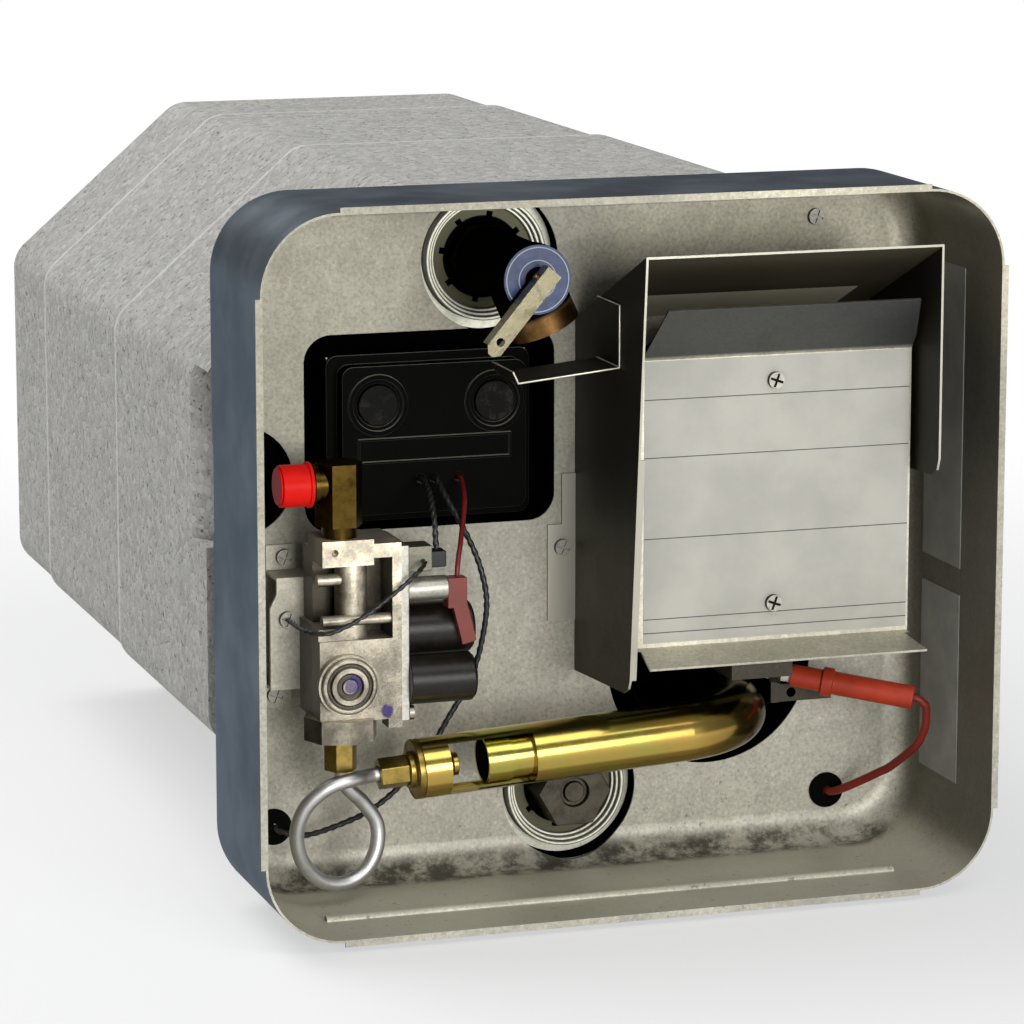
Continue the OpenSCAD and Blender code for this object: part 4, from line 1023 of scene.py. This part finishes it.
# nodes whose rounded edges have a finish of their own, a painted highlight
EDGE_FINISH = {"flue_box": sheet_edge_highlight, "drip_shield": sheet_edge_highlight, "reset_cover": cover_edge_highlight}
# points closer than this are one, in metres
SAME_POINT = 0.00001
# faces that meet at less than the first angle are one flat, edges above the second are rounded
FLAT_ANGLE = math.radians(0.4)
SHARP_ANGLE = math.radians(35)
SMOOTH_ANGLE = math.radians(40)


def softened(name, width):
    """A copy of a node with its flats joined and its sharp edges rounded."""
    node = frame["nodes"][name]
    piece = bpy.data.objects.new(f"rounded_{name}", node.data.copy())
    bpy.context.scene.collection.objects.link(piece)
    dress(piece, name)
    if name in EDGE_FINISH:
        piece.data.materials.append(finish(EDGE_FINISH[name]))
    bpy.ops.object.select_all(action="DESELECT")
    piece.select_set(True)
    bpy.context.view_layer.objects.active = piece
    bpy.ops.object.mode_set(mode="EDIT")
    bpy.ops.mesh.select_mode(type="EDGE")
    bpy.ops.mesh.select_all(action="SELECT")
    bpy.ops.mesh.remove_doubles(threshold=SAME_POINT)
    bpy.ops.mesh.dissolve_limited(angle_limit=FLAT_ANGLE)
    bpy.ops.mesh.select_all(action="DESELECT")
    bpy.ops.mesh.edges_select_sharp(sharpness=SHARP_ANGLE)
    bpy.ops.mesh.bevel(offset=width * MM * sizes().edge_round, segments=2, affect="EDGES",
                       clamp_overlap=True, material=len(piece.data.materials) - 1)
    bpy.ops.mesh.select_all(action="SELECT")
    bpy.ops.mesh.normals_make_consistent(inside=False)
    bpy.ops.object.mode_set(mode="OBJECT")
    bpy.ops.object.shade_smooth_by_angle(angle=SMOOTH_ANGLE)
    # the large flats keep their own direction beside the rounded edges
    bpy.ops.object.modifier_add(type="WEIGHTED_NORMAL")
    piece.modifiers[-1].keep_sharp = True
    bpy.ops.object.modifier_apply(modifier=piece.modifiers[-1].name)
    return piece


class HEATER_OT_edges(bpy.types.Operator):
    """Rounds the edges of cast, turned and cut pieces"""

    bl_idname = "heater.edges"
    bl_label = "Rounded edges"

    def execute(self, context):
        for name, width in SOFT_EDGES.items():
            stand_in(softened(name, width), name)
        return {"FINISHED"}


# each wire's piece, node, route, size and strands
WIRES = (
    ("main_wire", "wire_main", MAIN_ROUTE, "wire_radius", STRANDS),
    ("red_wire", "wire_red", RED_ROUTE, "thin_wire_radius", 0),
    ("link_wire", "wire_link", LINK_ROUTE, "wire_radius", STRANDS),
    ("ground_wire", "wire_ground", GROUND_ROUTE, "thin_wire_radius", STRANDS),
    ("spark_lead", "ignition_lead", LEAD_ROUTE, "lead_radius", 0),
)
# steps between two points of a route, and sides of the tube
WIRE_STEPS, WIRE_SIDES = 14, 16
GAS_STEPS, GAS_SIDES = 10, 28


class HEATER_OT_wires(bpy.types.Operator):
    """Lays the wires and the ignition lead along their routes"""

    bl_idname = "heater.wires"
    bl_label = "Wires"

    def execute(self, context):
        for name, node, route, size, strands in WIRES:
            radius = getattr(sizes(), size)
            line = smooth_line(route, WIRE_STEPS)
            wire = tube_mesh(name, line, radius, WIRE_SIDES, strands)
            dress(wire, node)
            stand_in(wire, node)
        return {"FINISHED"}


class HEATER_OT_gas_tube(bpy.types.Operator):
    """Bends the aluminium gas tube in its loop"""

    bl_idname = "heater.gas_tube"
    bl_label = "Gas tube"

    def execute(self, context):
        line = smooth_line(GAS_ROUTE, GAS_STEPS)
        tube = tube_mesh("bent_gas_tube", line, sizes().gas_tube_radius, GAS_SIDES)
        dress(tube, "gas_tube")
        stand_in(tube, "gas_tube")
        return {"FINISHED"}


# lights with their place, aim, width, height and power
LIGHTS = (
    ("key", (0.15, -2.4, 0.42), (0, -0.2, 0.15), 1.0, 0.8, 25.5),
    ("front_top", (0.2, -1.5, 1.9), (0, -0.2, 0.15), 1.0, 1.0, 9),
    ("fill", (-1.8, -1.6, 0.9), (0, -0.1, 0.15), 1.4, 1.4, 2.5),
    ("top", (-0.9, 0.6, 1.9), (0, 0.1, 0.15), 1.3, 1.3, 29),
)
SKY_COLOUR = (0.78, 0.8, 0.82, 1)
SKY_STRENGTH = 0.3
# side of the floor, its drop below the part, and where it turns white for the camera, in metres
FLOOR_SIZE = 12
FLOOR_DROP = 0.0005
FLOOR_FADE = (0.35, 1.0)
# camera of the photograph: aim, direction and distance from there, and focal length in pixels
CAMERA_AIM = Vector((-0.0567, -FRONT, 0.1826))
CAMERA_WAY = Vector((-0.30417, -0.93335, 0.19064))
CAMERA_DISTANCE = 1.863
FOCAL_PIXELS = 4500
PICTURE_PIXELS = 1024
SENSOR_WIDTH = 36


def area_light(name, at, aim, width, height, power):
    """Soft box at a place, aimed at a point."""
    data = bpy.data.lights.new(name, "AREA")
    data.shape = "RECTANGLE"
    data.size = width
    data.size_y = height
    data.energy = power
    lamp = bpy.data.objects.new(name, data)
    lamp.location = at
    lamp.rotation_euler = (Vector(aim) - Vector(at)).to_track_quat("-Z", "Y").to_euler()
    bpy.context.scene.collection.objects.link(lamp)


def floor_finish():
    """Pale floor that turns white for the camera away from the object, and keeps the object's shadow."""
    f = Finish("floor_pale", (0.86, 0.86, 0.86), roughness=0.9)
    path = f.tree.nodes.new("ShaderNodeLightPath")
    seen = f.most(path.outputs["Is Camera Ray"], path.outputs["Is Glossy Ray"])
    seen = f.most(seen, path.outputs["Is Transmission Ray"])
    away = f.band(f.vector("LENGTH", f.where), *FLOOR_FADE)
    white = f.tree.nodes.new("ShaderNodeEmission")
    either = f.tree.nodes.new("ShaderNodeMixShader")
    f.put(either.inputs[0], f.times(seen, f.spread(away, 0.55, 1.0)))
    f.put(either.inputs[1], f.shader.outputs[0])
    f.put(either.inputs[2], white.outputs[0])
    f.put(f.tree.nodes["Material Output"].inputs["Surface"], either.outputs[0])
    return f.material


class HEATER_OT_stage(bpy.types.Operator):
    """Sets the floor, the light and the camera"""

    bl_idname = "heater.stage"
    bl_label = "Stage"

    def execute(self, context):
        scene = context.scene
        bpy.ops.object.select_all(action="DESELECT")
        bpy.ops.mesh.primitive_plane_add(size=FLOOR_SIZE, location=(0, 0, -FLOOR_DROP))
        floor = context.active_object
        floor.name = "floor"
        floor.data.materials.append(floor_finish())
        world = bpy.data.worlds.new("studio")
        scene.world = world
        world.use_nodes = True
        sky = world.node_tree.nodes["Background"]
        sky.inputs["Color"].default_value = SKY_COLOUR
        sky.inputs["Strength"].default_value = SKY_STRENGTH
        for light in LIGHTS:
            area_light(*light)
        data = bpy.data.cameras.new("camera")
        data.lens = SENSOR_WIDTH * FOCAL_PIXELS / PICTURE_PIXELS
        data.sensor_width = SENSOR_WIDTH
        camera = bpy.data.objects.new("camera", data)
        camera.location = CAMERA_AIM + CAMERA_WAY.normalized() * CAMERA_DISTANCE
        camera.rotation_euler = (CAMERA_AIM - camera.location).to_track_quat("-Z", "Y").to_euler()
        scene.collection.objects.link(camera)
        scene.camera = camera
        scene.view_settings.view_transform = "Standard"
        return {"FINISHED"}


class HEATER_PT_panel(bpy.types.Panel):
    """Lists the heater's steps, sizes and colours"""

    bl_idname = "HEATER_PT_panel"
    bl_label = "Water heater"
    bl_space_type = "VIEW_3D"
    bl_region_type = "UI"
    bl_category = "Heater"

    def draw(self, context):
        for step in STEPS:
            self.layout.operator(step.bl_idname)
        for group in (context.scene.heater_sizes, context.scene.heater_colours):
            for name in group.__annotations__:
                self.layout.prop(group, name)


STEPS = (HEATER_OT_finishes, HEATER_OT_edges, HEATER_OT_wires, HEATER_OT_gas_tube, HEATER_OT_stage)
CLASSES = (HeaterSizes, HeaterColours, *STEPS, HEATER_PT_panel)


def register():
    """Registers the classes and the scene's own properties."""
    for cls in CLASSES:
        bpy.utils.register_class(cls)
    bpy.types.Scene.heater_sizes = PointerProperty(type=HeaterSizes)
    bpy.types.Scene.heater_colours = PointerProperty(type=HeaterColours)


def unregister():
    """Takes back what register did."""
    del bpy.types.Scene.heater_colours
    del bpy.types.Scene.heater_sizes
    for cls in reversed(CLASSES):
        bpy.utils.unregister_class(cls)


def main():
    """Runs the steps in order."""
    register()
    bpy.ops.heater.finishes()
    bpy.ops.heater.edges()
    bpy.ops.heater.wires()
    bpy.ops.heater.gas_tube()
    bpy.ops.heater.stage()


if __name__ == "__main__":
    main()
